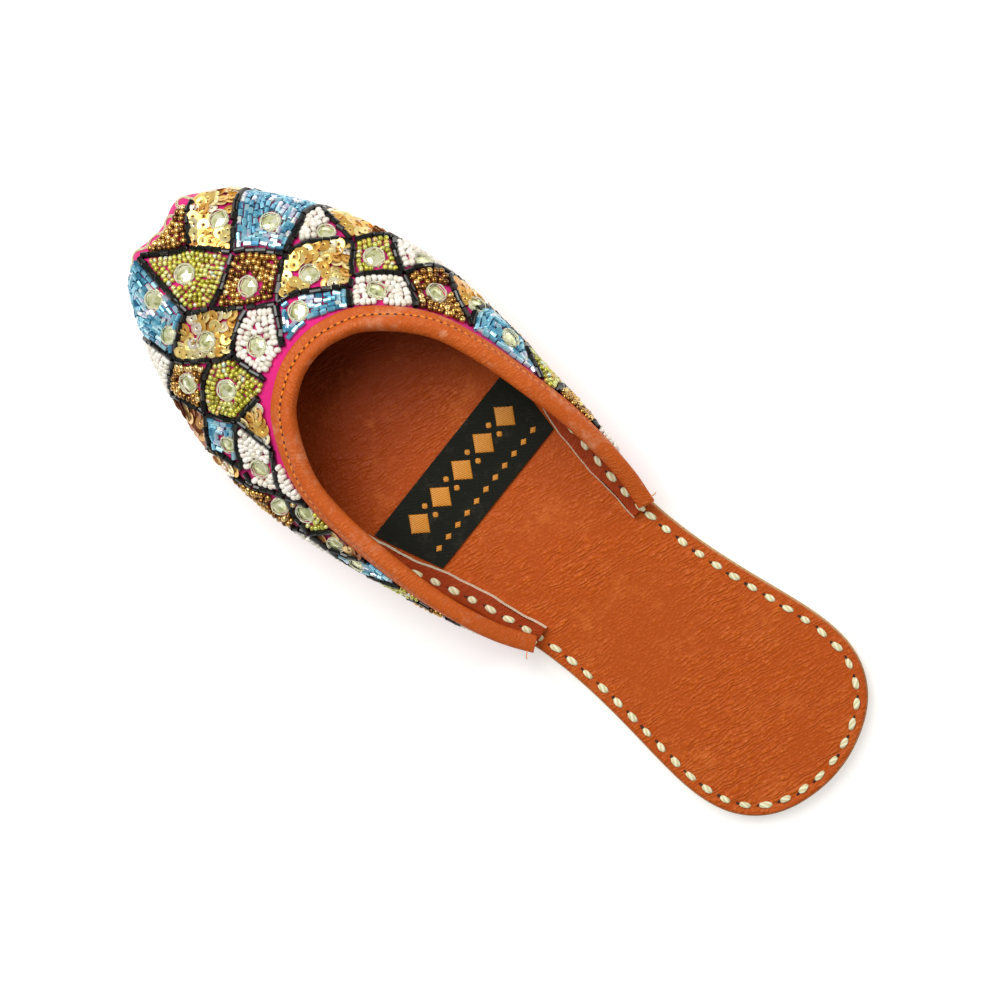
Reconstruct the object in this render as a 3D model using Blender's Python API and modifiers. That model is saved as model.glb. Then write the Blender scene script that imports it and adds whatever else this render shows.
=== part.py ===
"""A backless mojari shoe: leather outsole and insole, a beaded cloth upper closed round a straight
last, a padded binding round its throat and a woven band across the insole.

Metres, +Z up. The toe points along +Y, the shoe stands on Z = 0 and is the same on both sides of
the plane X = 0, so each piece is half a surface that a Mirror completes.

A point of the shoe is first given as (x, along, height) on a flat last: x from the middle plane,
along from the toe tip back, height above the outsole's underside. The function bent() then lifts
the toe and the arch, so that every layer follows the sole.
"""

import bpy
import numpy as np

MM = 0.001

# Main sizes
LENGTH = 254 * MM
BALL_HALF = 41.5 * MM  # half the sole's width across the ball
THROAT_HEIGHT = 40 * MM  # height of the upper's edge at the front of the throat
TOE_SPRING = 4 * MM
ARCH_RISE = 1.2 * MM
CENTRING = 1.2 * MM  # shift along Y that brings the middle of the whole shoe to Y = 0

# Thicknesses and clearances
OUTSOLE_THICK = 4 * MM
INSOLE_THICK = 2 * MM
BAND_THICK = 0.5 * MM
WALL = 2 * MM  # cloth and lining together
BEAD_THICK = 1.6 * MM
STRIP_THICK = 0.9 * MM  # the binding's flat strip
ROLL_THICK = 1.3 * MM  # the binding's padded roll, on each side of the wall
ROLL_PAST = 1.4 * MM  # how far the roll stands above the cut edge
GAP = 0.3 * MM

# Widths
MARGIN_WIDTH = 7 * MM  # the upper's turned in bottom margin
FOLD = 2.6 * MM  # length of the fold on each side of the bottom corner
STRIP_REACH = 5.4 * MM  # how far the binding lies down over the cloth
CLOTH_MARGIN = 2.4 * MM  # bare cloth between binding and beads, front of the throat
CLOTH_AT_SIDE = 0.6 * MM  # the same at the sides
SIDE_CLOTH = 2.2 * MM  # bare cloth between the fold and the beads
TIP_CLOTH = 11.7 * MM  # the same at the toe tip
SOLE_EDGE = 0.4 * MM  # how far the outsole shows outside the insole
BAND_FRONT = 106 * MM
BAND_BACK = 128 * MM

# Where the sole leaves the ground, as shares of the length
SPRING_END = 0.16
ARCH_START = 0.46
ARCH_END = 0.70

BEADS_END = 0.91  # share of the upper's columns where the beads stop, towards the wing end

# Outline of the outsole, toe centre to heel centre.
# along (share of length), half width (share of ball half width)
SOLE_LINE = np.array([
    (0.0095, 0.000),
    (0.0100, 0.160),
    (0.0220, 0.330),
    (0.0440, 0.470),
    (0.0800, 0.640),
    (0.1380, 0.810),
    (0.2150, 0.935),
    (0.3000, 1.000),
    (0.3750, 0.975),
    (0.4700, 0.865),
    (0.5600, 0.735),
    (0.6400, 0.655),
    (0.7100, 0.652),
    (0.7700, 0.685),
    (0.8350, 0.738),
    (0.8850, 0.760),
    (0.9350, 0.705),
    (0.9720, 0.535),
    (0.9930, 0.280),
    (1.0000, 0.000),
])

# The upper's widest line, seen from above, toe centre to wing end.
# along (share of length), half width (share of ball half width), height (share of throat height)
WIDE_LINE = np.array([
    (0.0020, 0.000, 0.290),
    (-0.0010, 0.110, 0.290),
    (-0.0045, 0.215, 0.290),
    (0.0015, 0.315, 0.290),
    (0.0150, 0.400, 0.300),
    (0.0370, 0.510, 0.320),
    (0.0755, 0.645, 0.345),
    (0.1180, 0.765, 0.370),
    (0.1580, 0.855, 0.395),
    (0.1970, 0.925, 0.420),
    (0.2360, 0.975, 0.440),
    (0.2900, 1.010, 0.460),
    (0.3450, 1.005, 0.475),
    (0.3900, 0.972, 0.480),
    (0.4330, 0.938, 0.478),
    (0.4900, 0.885, 0.465),
    (0.5430, 0.825, 0.430),
    (0.5830, 0.760, 0.380),
    (0.6140, 0.703, 0.320),
    (0.6380, 0.655, 0.255),
])

# The upper's cut edge round the throat, front of the throat to wing end.
# along, half width and height as above, lean of the wall at the edge (degrees from level)
RIM_LINE = np.array([
    (0.2440, 0.000, 1.000, 12),
    (0.2470, 0.150, 0.997, 14),
    (0.2540, 0.262, 0.991, 17),
    (0.2620, 0.355, 0.984, 22),
    (0.2770, 0.460, 0.970, 32),
    (0.2950, 0.554, 0.954, 42),
    (0.3160, 0.640, 0.936, 51),
    (0.3410, 0.709, 0.914, 59),
    (0.3690, 0.749, 0.890, 65),
    (0.4060, 0.777, 0.858, 69),
    (0.4370, 0.788, 0.828, 72),
    (0.4820, 0.796, 0.766, 75),
    (0.5140, 0.798, 0.706, 77),
    (0.5500, 0.782, 0.622, 78),
    (0.5830, 0.750, 0.520, 80),
    (0.6140, 0.697, 0.405, 81),
    (0.6380, 0.641, 0.320, 82),
])

# Profile of the binding, round its closed outline: how far below the cut edge (share of the strip),
# how far past the cut edge, how far out from the cloth.
BINDING_PROFILE = np.array([
    (1.00, 0, GAP),
    (1.00, 0, GAP + STRIP_THICK),
    (0.52, 0, GAP + STRIP_THICK),
    (0.30, 0, GAP + ROLL_THICK),
    (0, 0, GAP + ROLL_THICK),
    (0, 0.8 * ROLL_PAST, GAP + 0.45 * ROLL_THICK),
    (0, ROLL_PAST, -0.5 * WALL - 0.3 * ROLL_THICK),
    (0, 0.8 * ROLL_PAST, -WALL - GAP - 0.55 * ROLL_THICK),
    (0, 0, -WALL - GAP - ROLL_THICK),
    (0.30, 0, -WALL - GAP - ROLL_THICK),
    (0.50, 0, -WALL - GAP - 0.55 * ROLL_THICK),
    (0.50, 0, -WALL - GAP),
    (0, GAP, -WALL - GAP),
    (0, GAP, GAP),
])

COLUMNS = 34  # steps from the toe centre to the wing end
WALL_ROWS = 8  # steps up the beaded part of the wall
SOLE_STEPS = 50  # steps from the toe to the heel
WING_END = RIM_LINE[-1, 0]


def unit(vectors):
    """Vectors of length one along the last axis."""
    return vectors / np.linalg.norm(vectors, axis=-1, keepdims=True)


def fade(values, start, end):
    """Smooth step from 0 at start to 1 at end."""
    t = np.clip((values - start) / (end - start), 0, 1)
    return t * t * (3 - 2 * t)


def spline(rows, shares, sides=1):
    """Smooth curve through rows, at shares of its length.

    A cubic spline over the chord lengths. The rows are mirrored past the first one, and past the
    last one too where sides is 2: the second column, the half width, changes sign there.
    """
    flip = np.ones(rows.shape[1])
    flip[1] = -1
    whole = np.concatenate([rows[3:0:-1] * flip, rows])
    if sides == 2:
        whole = np.concatenate([whole, rows[-2:-5:-1] * flip])
    steps = np.hypot(np.diff(whole[:, 0]) * LENGTH, np.diff(whole[:, 1]) * BALL_HALF)
    knots = np.concatenate([[0], np.cumsum(steps)])
    matrix = np.eye(len(knots))
    right = np.zeros_like(whole)
    for i in range(1, len(knots) - 1):
        before, after = steps[i - 1], steps[i]
        matrix[i, i - 1:i + 2] = before, 2 * (before + after), after
        right[i] = 6 * ((whole[i + 1] - whole[i]) / after - (whole[i] - whole[i - 1]) / before)
    bend = np.linalg.solve(matrix, right)

    def at(places):
        i = np.clip(np.searchsorted(knots, places) - 1, 0, len(knots) - 2)
        step = (knots[i + 1] - knots[i])[:, None]
        a = (knots[i + 1] - places)[:, None] / step
        b = 1 - a
        curve = (a ** 3 - a) * bend[i] + (b ** 3 - b) * bend[i + 1]
        return a * whole[i] + b * whole[i + 1] + curve * step ** 2 / 6

    fine = np.linspace(knots[3], knots[2 + len(rows)], 800)
    curve = at(fine)
    steps = np.hypot(np.diff(curve[:, 0]) * LENGTH, np.diff(curve[:, 1]) * BALL_HALF)
    travelled = np.concatenate([[0], np.cumsum(steps)])
    return at(np.interp(np.asarray(shares) * travelled[-1], travelled, fine))


def sized(rows):
    """Rows of shares as (x, along, height) in metres."""
    height = rows[:, 2] * THROAT_HEIGHT if rows.shape[1] > 2 else np.zeros(len(rows))
    return np.stack([rows[:, 1] * BALL_HALF, rows[:, 0] * LENGTH, height], axis=-1)


def bent(points):
    """Flat last to shoe: each point is carried at right angles to the sole's underside.

    The underside rises as a parabola to the toe and as a raised cosine under the arch. Along
    becomes Y, with the middle of the whole shoe at Y = 0.
    """
    x, along, height = np.moveaxis(points, -1, 0)
    toe = np.clip(1 - along / (SPRING_END * LENGTH), 0, None)
    rise = TOE_SPRING * toe ** 2
    slope = -2 * TOE_SPRING * toe / (SPRING_END * LENGTH)
    arch = np.clip((along / LENGTH - ARCH_START) / (ARCH_END - ARCH_START), 0, 1)
    rise = rise + ARCH_RISE * (1 - np.cos(2 * np.pi * arch)) / 2
    turn = np.pi / ((ARCH_END - ARCH_START) * LENGTH)
    slope = slope + ARCH_RISE * turn * np.sin(2 * np.pi * arch)
    scale = height / np.sqrt(1 + slope ** 2)
    y = LENGTH / 2 + CENTRING - along + slope * scale
    return np.stack([x, y, rise + scale], axis=-1)


def steps_across(grid):
    """Step from column to column of a half surface or line, exact on the middle plane."""
    mirrored = grid[1:2] * (-1, 1, 1)
    return np.gradient(np.concatenate([mirrored, grid]), axis=0)[1:]


def inward(line):
    """Level unit vectors at right angles to a line of points, towards the middle of the shoe."""
    step = steps_across(line)
    return unit(np.stack([-step[:, 1], step[:, 0], np.zeros(len(line))], axis=-1))


def bezier(points, shares):
    """Cubic curve with four control points, each an array with a row per column of the grid."""
    t = shares[None, :, None]
    a, b, c, d = (p[:, None, :] for p in points)
    return (1 - t) ** 3 * a + 3 * t * (1 - t) ** 2 * b + 3 * t * t * (1 - t) * c + t ** 3 * d


# Outlines of the two leather layers of the sole. Their ends are cut square over a few millimetres.
sole_shares = np.linspace(0.006, 0.994, SOLE_STEPS)
outsole_line = sized(spline(SOLE_LINE, sole_shares, 2))
insole_line = outsole_line + inward(outsole_line) * SOLE_EDGE

# Three lines of the upper, a point per column. Columns stand closer at the toe, where it turns.
columns = np.linspace(0, 1, COLUMNS + 1) ** 1.2
sole_fine = np.linspace(0, 1, 400)
wing_share = np.interp(WING_END, spline(SOLE_LINE, sole_fine, 2)[:, 0], sole_fine)
edge = sized(spline(SOLE_LINE, columns * wing_share, 2))
wide = sized(spline(WIDE_LINE, columns))
rim_rows = spline(RIM_LINE, columns)
rim = sized(rim_rows)
for line in (edge, wide, rim):
    line[0, 0] = 0
MARGIN_UNDER = OUTSOLE_THICK + GAP + INSOLE_THICK + GAP
edge_in = inward(edge)
edge = edge + edge_in * SOLE_EDGE
edge[:, 2] = MARGIN_UNDER

# The wall leaves the fold, stands upright at its widest line and ends at the rim with its lean.
UP = np.array([0, 0, 1])
lean = np.radians(rim_rows[:, 3:4])
rim_up = inward(rim) * np.cos(lean) + UP * np.sin(lean)
span = np.linalg.norm(rim - wide, axis=1)[:, None]
rise = span * np.interp(columns, [0, 0.25, 0.6, 1], [0.17, 0.24, 0.30, 0.30])[:, None]
low = wide[:, 2:] - MARGIN_UNDER
fold_end = edge + unit(wide - edge - UP * low * 0.4) * np.minimum(FOLD, low * 0.5)
fine = np.linspace(0, 1, 60)
low_part = bezier([fold_end, fold_end * 0.6 + wide * 0.4, wide - UP * low * 0.3, wide], fine)
high_part = bezier([wide, wide + UP * rise, rim - rim_up * span * 0.33, rim], fine)
dense = np.concatenate([low_part, high_part[:, 1:]], axis=1)
dense_steps = np.linalg.norm(np.diff(dense, axis=1), axis=2)
travelled = np.concatenate([np.zeros((len(dense), 1)), np.cumsum(dense_steps, axis=1)], axis=1)
wall_height = travelled[:, -1:]  # from the fold up to the rim, measured on the wall


def on_wall(heights):
    """Points of the flat last's wall at heights above the fold, measured on the wall.

    Heights have a row per column. Above the rim the wall runs on straight along rim_up.
    """
    points = np.stack([
        np.stack([np.interp(h, t, d[:, k]) for k in range(3)], axis=-1)
        for h, t, d in zip(heights, travelled, dense)])
    return points + np.clip(heights - wall_height, 0, None)[..., None] * rim_up[:, None, :]


def off_wall(heights, out):
    """Points at a distance out from the wall, along its normal."""
    base = on_wall(heights)
    up = on_wall(heights + 0.5 * MM) - on_wall(heights - 0.5 * MM)
    normal = np.cross(steps_across(base), up)
    normal[0, :, 0] = 0
    return base + unit(normal) * np.asarray(out)[..., None]


def clear_scene():
    for old in list(bpy.data.objects):
        bpy.data.objects.remove(old)


def material(name, color, roughness, metallic=0.0):
    made = bpy.data.materials.new(name)
    made.use_nodes = True
    shader = made.node_tree.nodes["Principled BSDF"]
    shader.inputs["Base Color"].default_value = (*color, 1)
    shader.inputs["Roughness"].default_value = roughness
    shader.inputs["Metallic"].default_value = metallic
    made.diffuse_color = (*color, 1)
    return made


def add_half(name, flat, look, closed=False):
    """An object over half a surface, given as a grid of points of the flat last, and its mirror.

    A closed grid is a tube: its last row joins its first, and its last column is capped.
    """
    count, rows = flat.shape[:2]
    index = np.arange(count * rows).reshape(count, rows)
    round_index = np.concatenate([index, index[:, :1]], axis=1) if closed else index
    a, b = round_index[:-1], round_index[1:]
    faces = np.stack([a[:, :-1], a[:, 1:], b[:, 1:], b[:, :-1]], axis=-1).reshape(-1, 4).tolist()
    if closed:
        faces.append(index[-1].tolist())
    mesh = bpy.data.meshes.new(name)
    mesh.from_pydata(bent(flat).reshape(-1, 3).tolist(), [], faces)
    mesh.materials.append(look)
    mesh.shade_smooth()
    made = bpy.data.objects.new(name, mesh)
    shoe.objects.link(made)
    half = made.modifiers.new("other_half", "MIRROR")
    half.merge_threshold = 0.0001
    return made


def thicken(made, thickness, side):
    """Gives a surface a wall: side -1 puts it behind the faces, 1 in front of them."""
    shell = made.modifiers.new("wall", "SOLIDIFY")
    shell.thickness = thickness
    shell.offset = side
    shell.use_even_offset = True


def round_edges(made, width):
    rounding = made.modifiers.new("rounding", "BEVEL")
    rounding.width = width
    rounding.segments = 1
    rounding.limit_method = "ANGLE"
    rounding.angle_limit = np.radians(50)


def add_layer(name, outline, height, thickness, look):
    """A flat layer: each row of its half outline is a row of points from the middle to the edge."""
    across = np.array([0, 0.5, 1])
    flat = np.stack([
        outline[:, :1] * across,
        np.repeat(outline[:, 1:2], len(across), axis=1),
        np.full((len(outline), len(across)), height),
    ], axis=-1)
    made = add_half(name, flat, look)
    thicken(made, thickness, -1)
    return made


clear_scene()
shoe = bpy.data.collections.new("mojari_mule")
bpy.context.scene.collection.children.link(shoe)
sole_leather = material("sole_leather", (0.42, 0.20, 0.08), 0.65)
tan_leather = material("tan_leather", (0.55, 0.12, 0.02), 0.5)
binding_leather = material("binding_leather", (0.62, 0.16, 0.035), 0.45)
magenta_cloth = material("magenta_cloth", (0.72, 0.012, 0.20), 0.75)
black_ribbon = material("black_ribbon", (0.012, 0.014, 0.01), 0.7)
bead_mix = material("bead_mix", (0.45, 0.36, 0.22), 0.35)

# Outsole and insole
outsole = add_layer("outsole", outsole_line, 0, OUTSOLE_THICK, sole_leather)
round_edges(outsole, 0.6 * MM)
insole_under = OUTSOLE_THICK + GAP
insole = add_layer("insole", insole_line, insole_under, INSOLE_THICK, tan_leather)

# Upper: turned in margin, fold and wall in one surface. The rows of the wall fall where the
# beadwork and the binding begin and end, so that all of them have the same flat faces.
narrowing = 1 - 0.45 * fade(columns, 0.75, 1)[:, None]
strip = STRIP_REACH * narrowing
bare = CLOTH_MARGIN + (CLOTH_AT_SIDE - CLOTH_MARGIN) * fade(columns, 0.35, 0.7)[:, None]
below_strip = wall_height - strip
bead_top = np.maximum(below_strip - GAP - bare, below_strip * 0.6)
toe_tip = 1 - fade(columns, 0.02, 0.15)[:, None]
bead_bottom = np.minimum(TIP_CLOTH * toe_tip + SIDE_CLOTH * (1 - toe_tip), bead_top * 0.4)
bead_heights = bead_bottom + (bead_top - bead_bottom) * np.linspace(0, 1, WALL_ROWS + 1)
wall_heights = np.concatenate([
    wall_height * 0, bead_heights, below_strip, wall_height - strip / 2, wall_height,
], axis=1)
margin_rows = np.array([1, 0.7, FOLD / MARGIN_WIDTH])[:, None] * MARGIN_WIDTH
margin = edge[:, None] + edge_in[:, None] * margin_rows
corner = margin[:, 2:] * 0.26 + edge[:, None] * 0.48 + fold_end[:, None] * 0.26
upper = add_half("upper", np.concatenate([margin, corner, on_wall(wall_heights)], axis=1),
                 magenta_cloth)
thicken(upper, WALL, -1)

# Beadwork, over the columns as far back as it reaches
last = int(np.searchsorted(columns, BEADS_END)) + 1
beadwork = add_half("beadwork", off_wall(bead_heights, GAP)[:last], bead_mix)
thicken(beadwork, BEAD_THICK, 1)

# Binding: one closed profile carried round the rim
below, past, out = BINDING_PROFILE.T
binding = add_half("binding", off_wall(wall_height - strip * below + past * narrowing, out),
                   binding_leather, closed=True)

# Band across the insole, its ends clear of the turned in margin
band_along = np.linspace(BAND_FRONT, BAND_BACK, 5)
raw_edge = margin[:, 0]
reach = np.interp(band_along, raw_edge[:, 1], raw_edge[:, 0]) - GAP
band_line = np.stack([reach, band_along], axis=-1)
add_layer("insole_band", band_line, insole_under + INSOLE_THICK + GAP, BAND_THICK, black_ribbon)
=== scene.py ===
# %% [markdown]
# # A beaded mojari mule
#
# The shoe is a flat, backless slipper of tan leather. Its cloth upper is covered with a patchwork
# of beads, sequins and small mirrors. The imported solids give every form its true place. This script
# lays the finish over them: fine surfaces worked out from the same few tables as the solids,
# some two thousand beads and sequins in joined meshes, thread, grain and light.

import math

import bmesh
import bpy
import numpy as np
from mathutils import Matrix


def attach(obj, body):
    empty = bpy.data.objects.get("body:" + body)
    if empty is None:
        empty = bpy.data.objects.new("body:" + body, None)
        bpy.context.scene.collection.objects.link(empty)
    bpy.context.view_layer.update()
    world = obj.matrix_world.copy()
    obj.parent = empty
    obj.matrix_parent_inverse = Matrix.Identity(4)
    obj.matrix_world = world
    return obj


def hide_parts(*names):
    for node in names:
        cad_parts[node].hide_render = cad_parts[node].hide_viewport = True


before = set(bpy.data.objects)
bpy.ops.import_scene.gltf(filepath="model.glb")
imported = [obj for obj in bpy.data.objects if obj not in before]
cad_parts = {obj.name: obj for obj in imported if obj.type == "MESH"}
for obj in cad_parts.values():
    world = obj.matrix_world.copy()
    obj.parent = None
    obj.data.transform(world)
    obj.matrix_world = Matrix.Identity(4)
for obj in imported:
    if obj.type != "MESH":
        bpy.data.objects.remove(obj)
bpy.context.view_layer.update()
scene = bpy.context.scene
rng = np.random.default_rng(11)
MM = 0.001
print("nodes:", sorted(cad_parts))

# %% [markdown]
# ## Sizes
#
# A point of the shoe is first given on a flat last as (x, along, height): x from the middle plane,
# along from the toe tip back, height above the underside of the sole. The named sizes are the ones
# that drive the solids, and the three tables are the lines that the upper hangs from: the sole's
# outline, the widest line of the upper and its cut edge round the throat.

# %% Named sizes and tables
LENGTH = 254 * MM
BALL_HALF = 41.5 * MM
THROAT_HEIGHT = 40 * MM
TOE_SPRING, ARCH_RISE, CENTRING = 4 * MM, 1.2 * MM, 1.2 * MM
SPRING_END, ARCH_START, ARCH_END = 0.16, 0.46, 0.70
OUTSOLE_THICK, INSOLE_THICK, WALL, GAP = 4 * MM, 2 * MM, 2 * MM, 0.3 * MM
MARGIN_WIDTH, FOLD, STRIP_REACH, SOLE_EDGE = 7 * MM, 2.6 * MM, 5.4 * MM, 0.4 * MM
BAND_FRONT, BAND_BACK = 106 * MM, 128 * MM
MARGIN_UNDER = OUTSOLE_THICK + GAP + INSOLE_THICK + GAP

# along (share of length), half width (share of ball half width)
SOLE_LINE = np.array([
    (0.0095, 0.000), (0.0100, 0.160), (0.0220, 0.330), (0.0440, 0.470), (0.0800, 0.640),
    (0.1380, 0.810), (0.2150, 0.935), (0.3000, 1.000), (0.3750, 0.975), (0.4700, 0.865),
    (0.5600, 0.735), (0.6400, 0.655), (0.7100, 0.652), (0.7700, 0.685), (0.8350, 0.738),
    (0.8850, 0.760), (0.9350, 0.705), (0.9720, 0.535), (0.9930, 0.280), (1.0000, 0.000),
])
# along, half width, height (share of throat height)
WIDE_LINE = np.array([
    (0.0020, 0.000, 0.290), (-0.0010, 0.110, 0.290), (-0.0045, 0.215, 0.290),
    (0.0015, 0.315, 0.290), (0.0150, 0.400, 0.300), (0.0370, 0.510, 0.320),
    (0.0755, 0.645, 0.345), (0.1180, 0.765, 0.370), (0.1580, 0.855, 0.395),
    (0.1970, 0.925, 0.420), (0.2360, 0.975, 0.440), (0.2900, 1.010, 0.460),
    (0.3450, 1.005, 0.475), (0.3900, 0.972, 0.480), (0.4330, 0.938, 0.478),
    (0.4900, 0.885, 0.465), (0.5430, 0.825, 0.430), (0.5830, 0.760, 0.380),
    (0.6140, 0.703, 0.320), (0.6380, 0.655, 0.255),
])
# along, half width, height, lean of the wall at the edge (degrees from level)
RIM_LINE = np.array([
    (0.2440, 0.000, 1.000, 12), (0.2470, 0.150, 0.997, 14), (0.2540, 0.262, 0.991, 17),
    (0.2620, 0.355, 0.984, 22), (0.2770, 0.460, 0.970, 32), (0.2950, 0.554, 0.954, 42),
    (0.3160, 0.640, 0.936, 51), (0.3410, 0.709, 0.914, 59), (0.3690, 0.749, 0.890, 65),
    (0.4060, 0.777, 0.858, 69), (0.4370, 0.788, 0.828, 72), (0.4820, 0.796, 0.766, 75),
    (0.5140, 0.798, 0.706, 77), (0.5500, 0.782, 0.622, 78), (0.5830, 0.750, 0.520, 80),
    (0.6140, 0.697, 0.405, 81), (0.6380, 0.641, 0.320, 82),
])
WING_END = RIM_LINE[-1, 0]
print("sole", LENGTH / MM, "mm long on the flat last, wings end at share", WING_END)

# %% [markdown]
# ## Smooth lines through the tables
#
# A cubic spline runs through the rows of each table. The rows are mirrored past the middle plane,
# so the toe and the heel are smooth where the two halves meet. Every line is read by its share of
# travelled length, which keeps neighbouring points evenly spaced.

# %% Spline, bend and small helpers
def unit(vectors):
    """Vectors of length one along the last axis."""
    return vectors / np.maximum(np.linalg.norm(vectors, axis=-1, keepdims=True), 1e-12)


def fade(values, start, end):
    """Smooth step from 0 at start to 1 at end."""
    t = np.clip((np.asarray(values) - start) / (end - start), 0, 1)
    return t * t * (3 - 2 * t)


def spline(rows, shares, sides=1):
    """Cubic curve through rows, at shares of its length.

    The rows are mirrored past the first one, and with two sides also past the last one. Between
    two rows the curve is their weighted mean plus a cubic term of their bends (second derivatives),
    and the bends solve one linear equation per row, so that slopes meet.
    """
    flip = np.ones(rows.shape[1])
    flip[1] = -1
    whole = np.concatenate([rows[3:0:-1] * flip, rows])
    if sides == 2:
        whole = np.concatenate([whole, rows[-2:-5:-1] * flip])
    steps = np.hypot(np.diff(whole[:, 0]) * LENGTH, np.diff(whole[:, 1]) * BALL_HALF)
    knots = np.concatenate([[0], np.cumsum(steps)])
    matrix = np.eye(len(knots))
    right = np.zeros_like(whole)
    for i in range(1, len(knots) - 1):
        before, after = steps[i - 1], steps[i]
        matrix[i, i - 1:i + 2] = before, 2 * (before + after), after
        right[i] = 6 * ((whole[i + 1] - whole[i]) / after - (whole[i] - whole[i - 1]) / before)
    bend = np.linalg.solve(matrix, right)

    def at(places):
        i = np.clip(np.searchsorted(knots, places) - 1, 0, len(knots) - 2)
        step = (knots[i + 1] - knots[i])[:, None]
        a = (knots[i + 1] - places)[:, None] / step
        b = 1 - a
        curve = (a ** 3 - a) * bend[i] + (b ** 3 - b) * bend[i + 1]
        return a * whole[i] + b * whole[i + 1] + curve * step ** 2 / 6

    fine = np.linspace(knots[3], knots[2 + len(rows)], 800)
    curve = at(fine)
    steps = np.hypot(np.diff(curve[:, 0]) * LENGTH, np.diff(curve[:, 1]) * BALL_HALF)
    travelled = np.concatenate([[0], np.cumsum(steps)])
    return at(np.interp(np.asarray(shares) * travelled[-1], travelled, fine))


def sized(rows):
    """Rows of shares as (x, along, height) in metres."""
    height = rows[:, 2] * THROAT_HEIGHT if rows.shape[1] > 2 else np.zeros(len(rows))
    return np.stack([rows[:, 1] * BALL_HALF, rows[:, 0] * LENGTH, height], axis=-1)


def bent(points):
    """Flat last to shoe: the underside rises as a parabola to the toe and a cosine at the arch.

    A height is then measured at right angles to the risen underside, by its slope.
    """
    x, along, height = np.moveaxis(np.asarray(points), -1, 0)
    toe = np.clip(1 - along / (SPRING_END * LENGTH), 0, None)
    rise = TOE_SPRING * toe ** 2
    slope = -2 * TOE_SPRING * toe / (SPRING_END * LENGTH)
    arch = np.clip((along / LENGTH - ARCH_START) / (ARCH_END - ARCH_START), 0, 1)
    rise = rise + ARCH_RISE * (1 - np.cos(2 * np.pi * arch)) / 2
    turn = np.pi / ((ARCH_END - ARCH_START) * LENGTH)
    slope = slope + ARCH_RISE * turn * np.sin(2 * np.pi * arch)
    scale = height / np.sqrt(1 + slope ** 2)
    y = LENGTH / 2 + CENTRING - along + slope * scale
    return np.stack([x, y, rise + scale], axis=-1)


def steps_across(grid):
    """Step from column to column of a half surface or line, exact on the middle plane."""
    mirrored = grid[1:2] * (-1, 1, 1)
    return np.gradient(np.concatenate([mirrored, grid]), axis=0)[1:]


def inward(line):
    """Level unit vectors at right angles to a line of points, towards the middle of the shoe."""
    step = steps_across(line)
    return unit(np.stack([-step[:, 1], step[:, 0], np.zeros(len(line))], axis=-1))


print("point of the flat last at the toe's edge, on the shoe:", bent(np.array([0, 0.0, 0])).round(4))

# %% [markdown]
# ## The wall of the upper
#
# A maker pulls the upper over a last and turns its lower edge in over the insole. Here each column
# of the wall leaves the fold at the sole's edge, stands upright at the widest line and leans in to
# the cut edge of the throat: two cubic curves per column. A place on the wall is then two numbers,
# the column's share round the shoe (0 at the toe, 1 at the wing end) and the height above the fold
# measured on the wall, and any bead or thread can be set there.

# %% Wall function
COLUMNS = 240
UP = np.array([0, 0, 1.0])
columns = np.linspace(0, 1, COLUMNS + 1)
sole_fine = np.linspace(0, 1, 400)
wing_share = np.interp(WING_END, spline(SOLE_LINE, sole_fine, 2)[:, 0], sole_fine)
edge = sized(spline(SOLE_LINE, columns * wing_share, 2))
wide = sized(spline(WIDE_LINE, columns))
rim_rows = spline(RIM_LINE, columns)
rim = sized(rim_rows)
for line in (edge, wide, rim):
    line[0, 0] = 0
edge_in = inward(edge)
edge = edge + edge_in * SOLE_EDGE
edge[:, 2] = MARGIN_UNDER
lean = np.radians(rim_rows[:, 3:4])
rim_up = inward(rim) * np.cos(lean) + UP * np.sin(lean)
span = np.linalg.norm(rim - wide, axis=1)[:, None]
rise = span * np.interp(columns, [0, 0.25, 0.6, 1], [0.17, 0.24, 0.30, 0.30])[:, None]
low = wide[:, 2:] - MARGIN_UNDER
fold_end = edge + unit(wide - edge - UP * low * 0.4) * np.minimum(FOLD, low * 0.5)


def bezier(points, shares):
    """Cubic curve at shares t: four control points weighted (1-t)^3, 3t(1-t)^2, 3t^2(1-t), t^3."""
    t = shares[None, :, None]
    a, b, c, d = (p[:, None, :] for p in points)
    return (1 - t) ** 3 * a + 3 * t * (1 - t) ** 2 * b + 3 * t * t * (1 - t) * c + t ** 3 * d


fine = np.linspace(0, 1, 60)
low_part = bezier([fold_end, fold_end * 0.6 + wide * 0.4, wide - UP * low * 0.3, wide], fine)
high_part = bezier([wide, wide + UP * rise, rim - rim_up * span * 0.33, rim], fine)
dense = np.concatenate([low_part, high_part[:, 1:]], axis=1)
dense_steps = np.linalg.norm(np.diff(dense, axis=1), axis=2)
travelled = np.concatenate([np.zeros((len(dense), 1)), np.cumsum(dense_steps, axis=1)], axis=1)
wall_height = travelled[:, -1:]


def on_wall(heights):
    """Points of the flat last's wall at heights above the fold, a row of heights per column."""
    points = np.stack([
        np.stack([np.interp(h, t, d[:, k]) for k in range(3)], axis=-1)
        for h, t, d in zip(heights, travelled, dense)])
    return points + np.clip(heights - wall_height, 0, None)[..., None] * rim_up[:, None, :]


print("wall height at toe, side and wing end, mm:", np.round(wall_height[[0, 120, 240], 0] / MM, 1))

# %% [markdown]
# ## A map of the finished wall
#
# Beads are placed by two numbers, so the wall is measured once. A grid of points and normals covers
# it from wing end to wing end and a little past the cut edge. Any place between them is a weighted
# mean, which is much faster than working out the curves again for thousands of beads.

# %% Wall map
T_ROWS = 130
t_rows = np.linspace(0, 1.25, T_ROWS + 1)
half_wall = on_wall(wall_height * t_rows)
wall_points = bent(np.concatenate([half_wall[:0:-1] * (-1, 1, 1), half_wall]))
wall_normals = unit(np.cross(np.gradient(wall_points, axis=1), np.gradient(wall_points, axis=0)))


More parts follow.
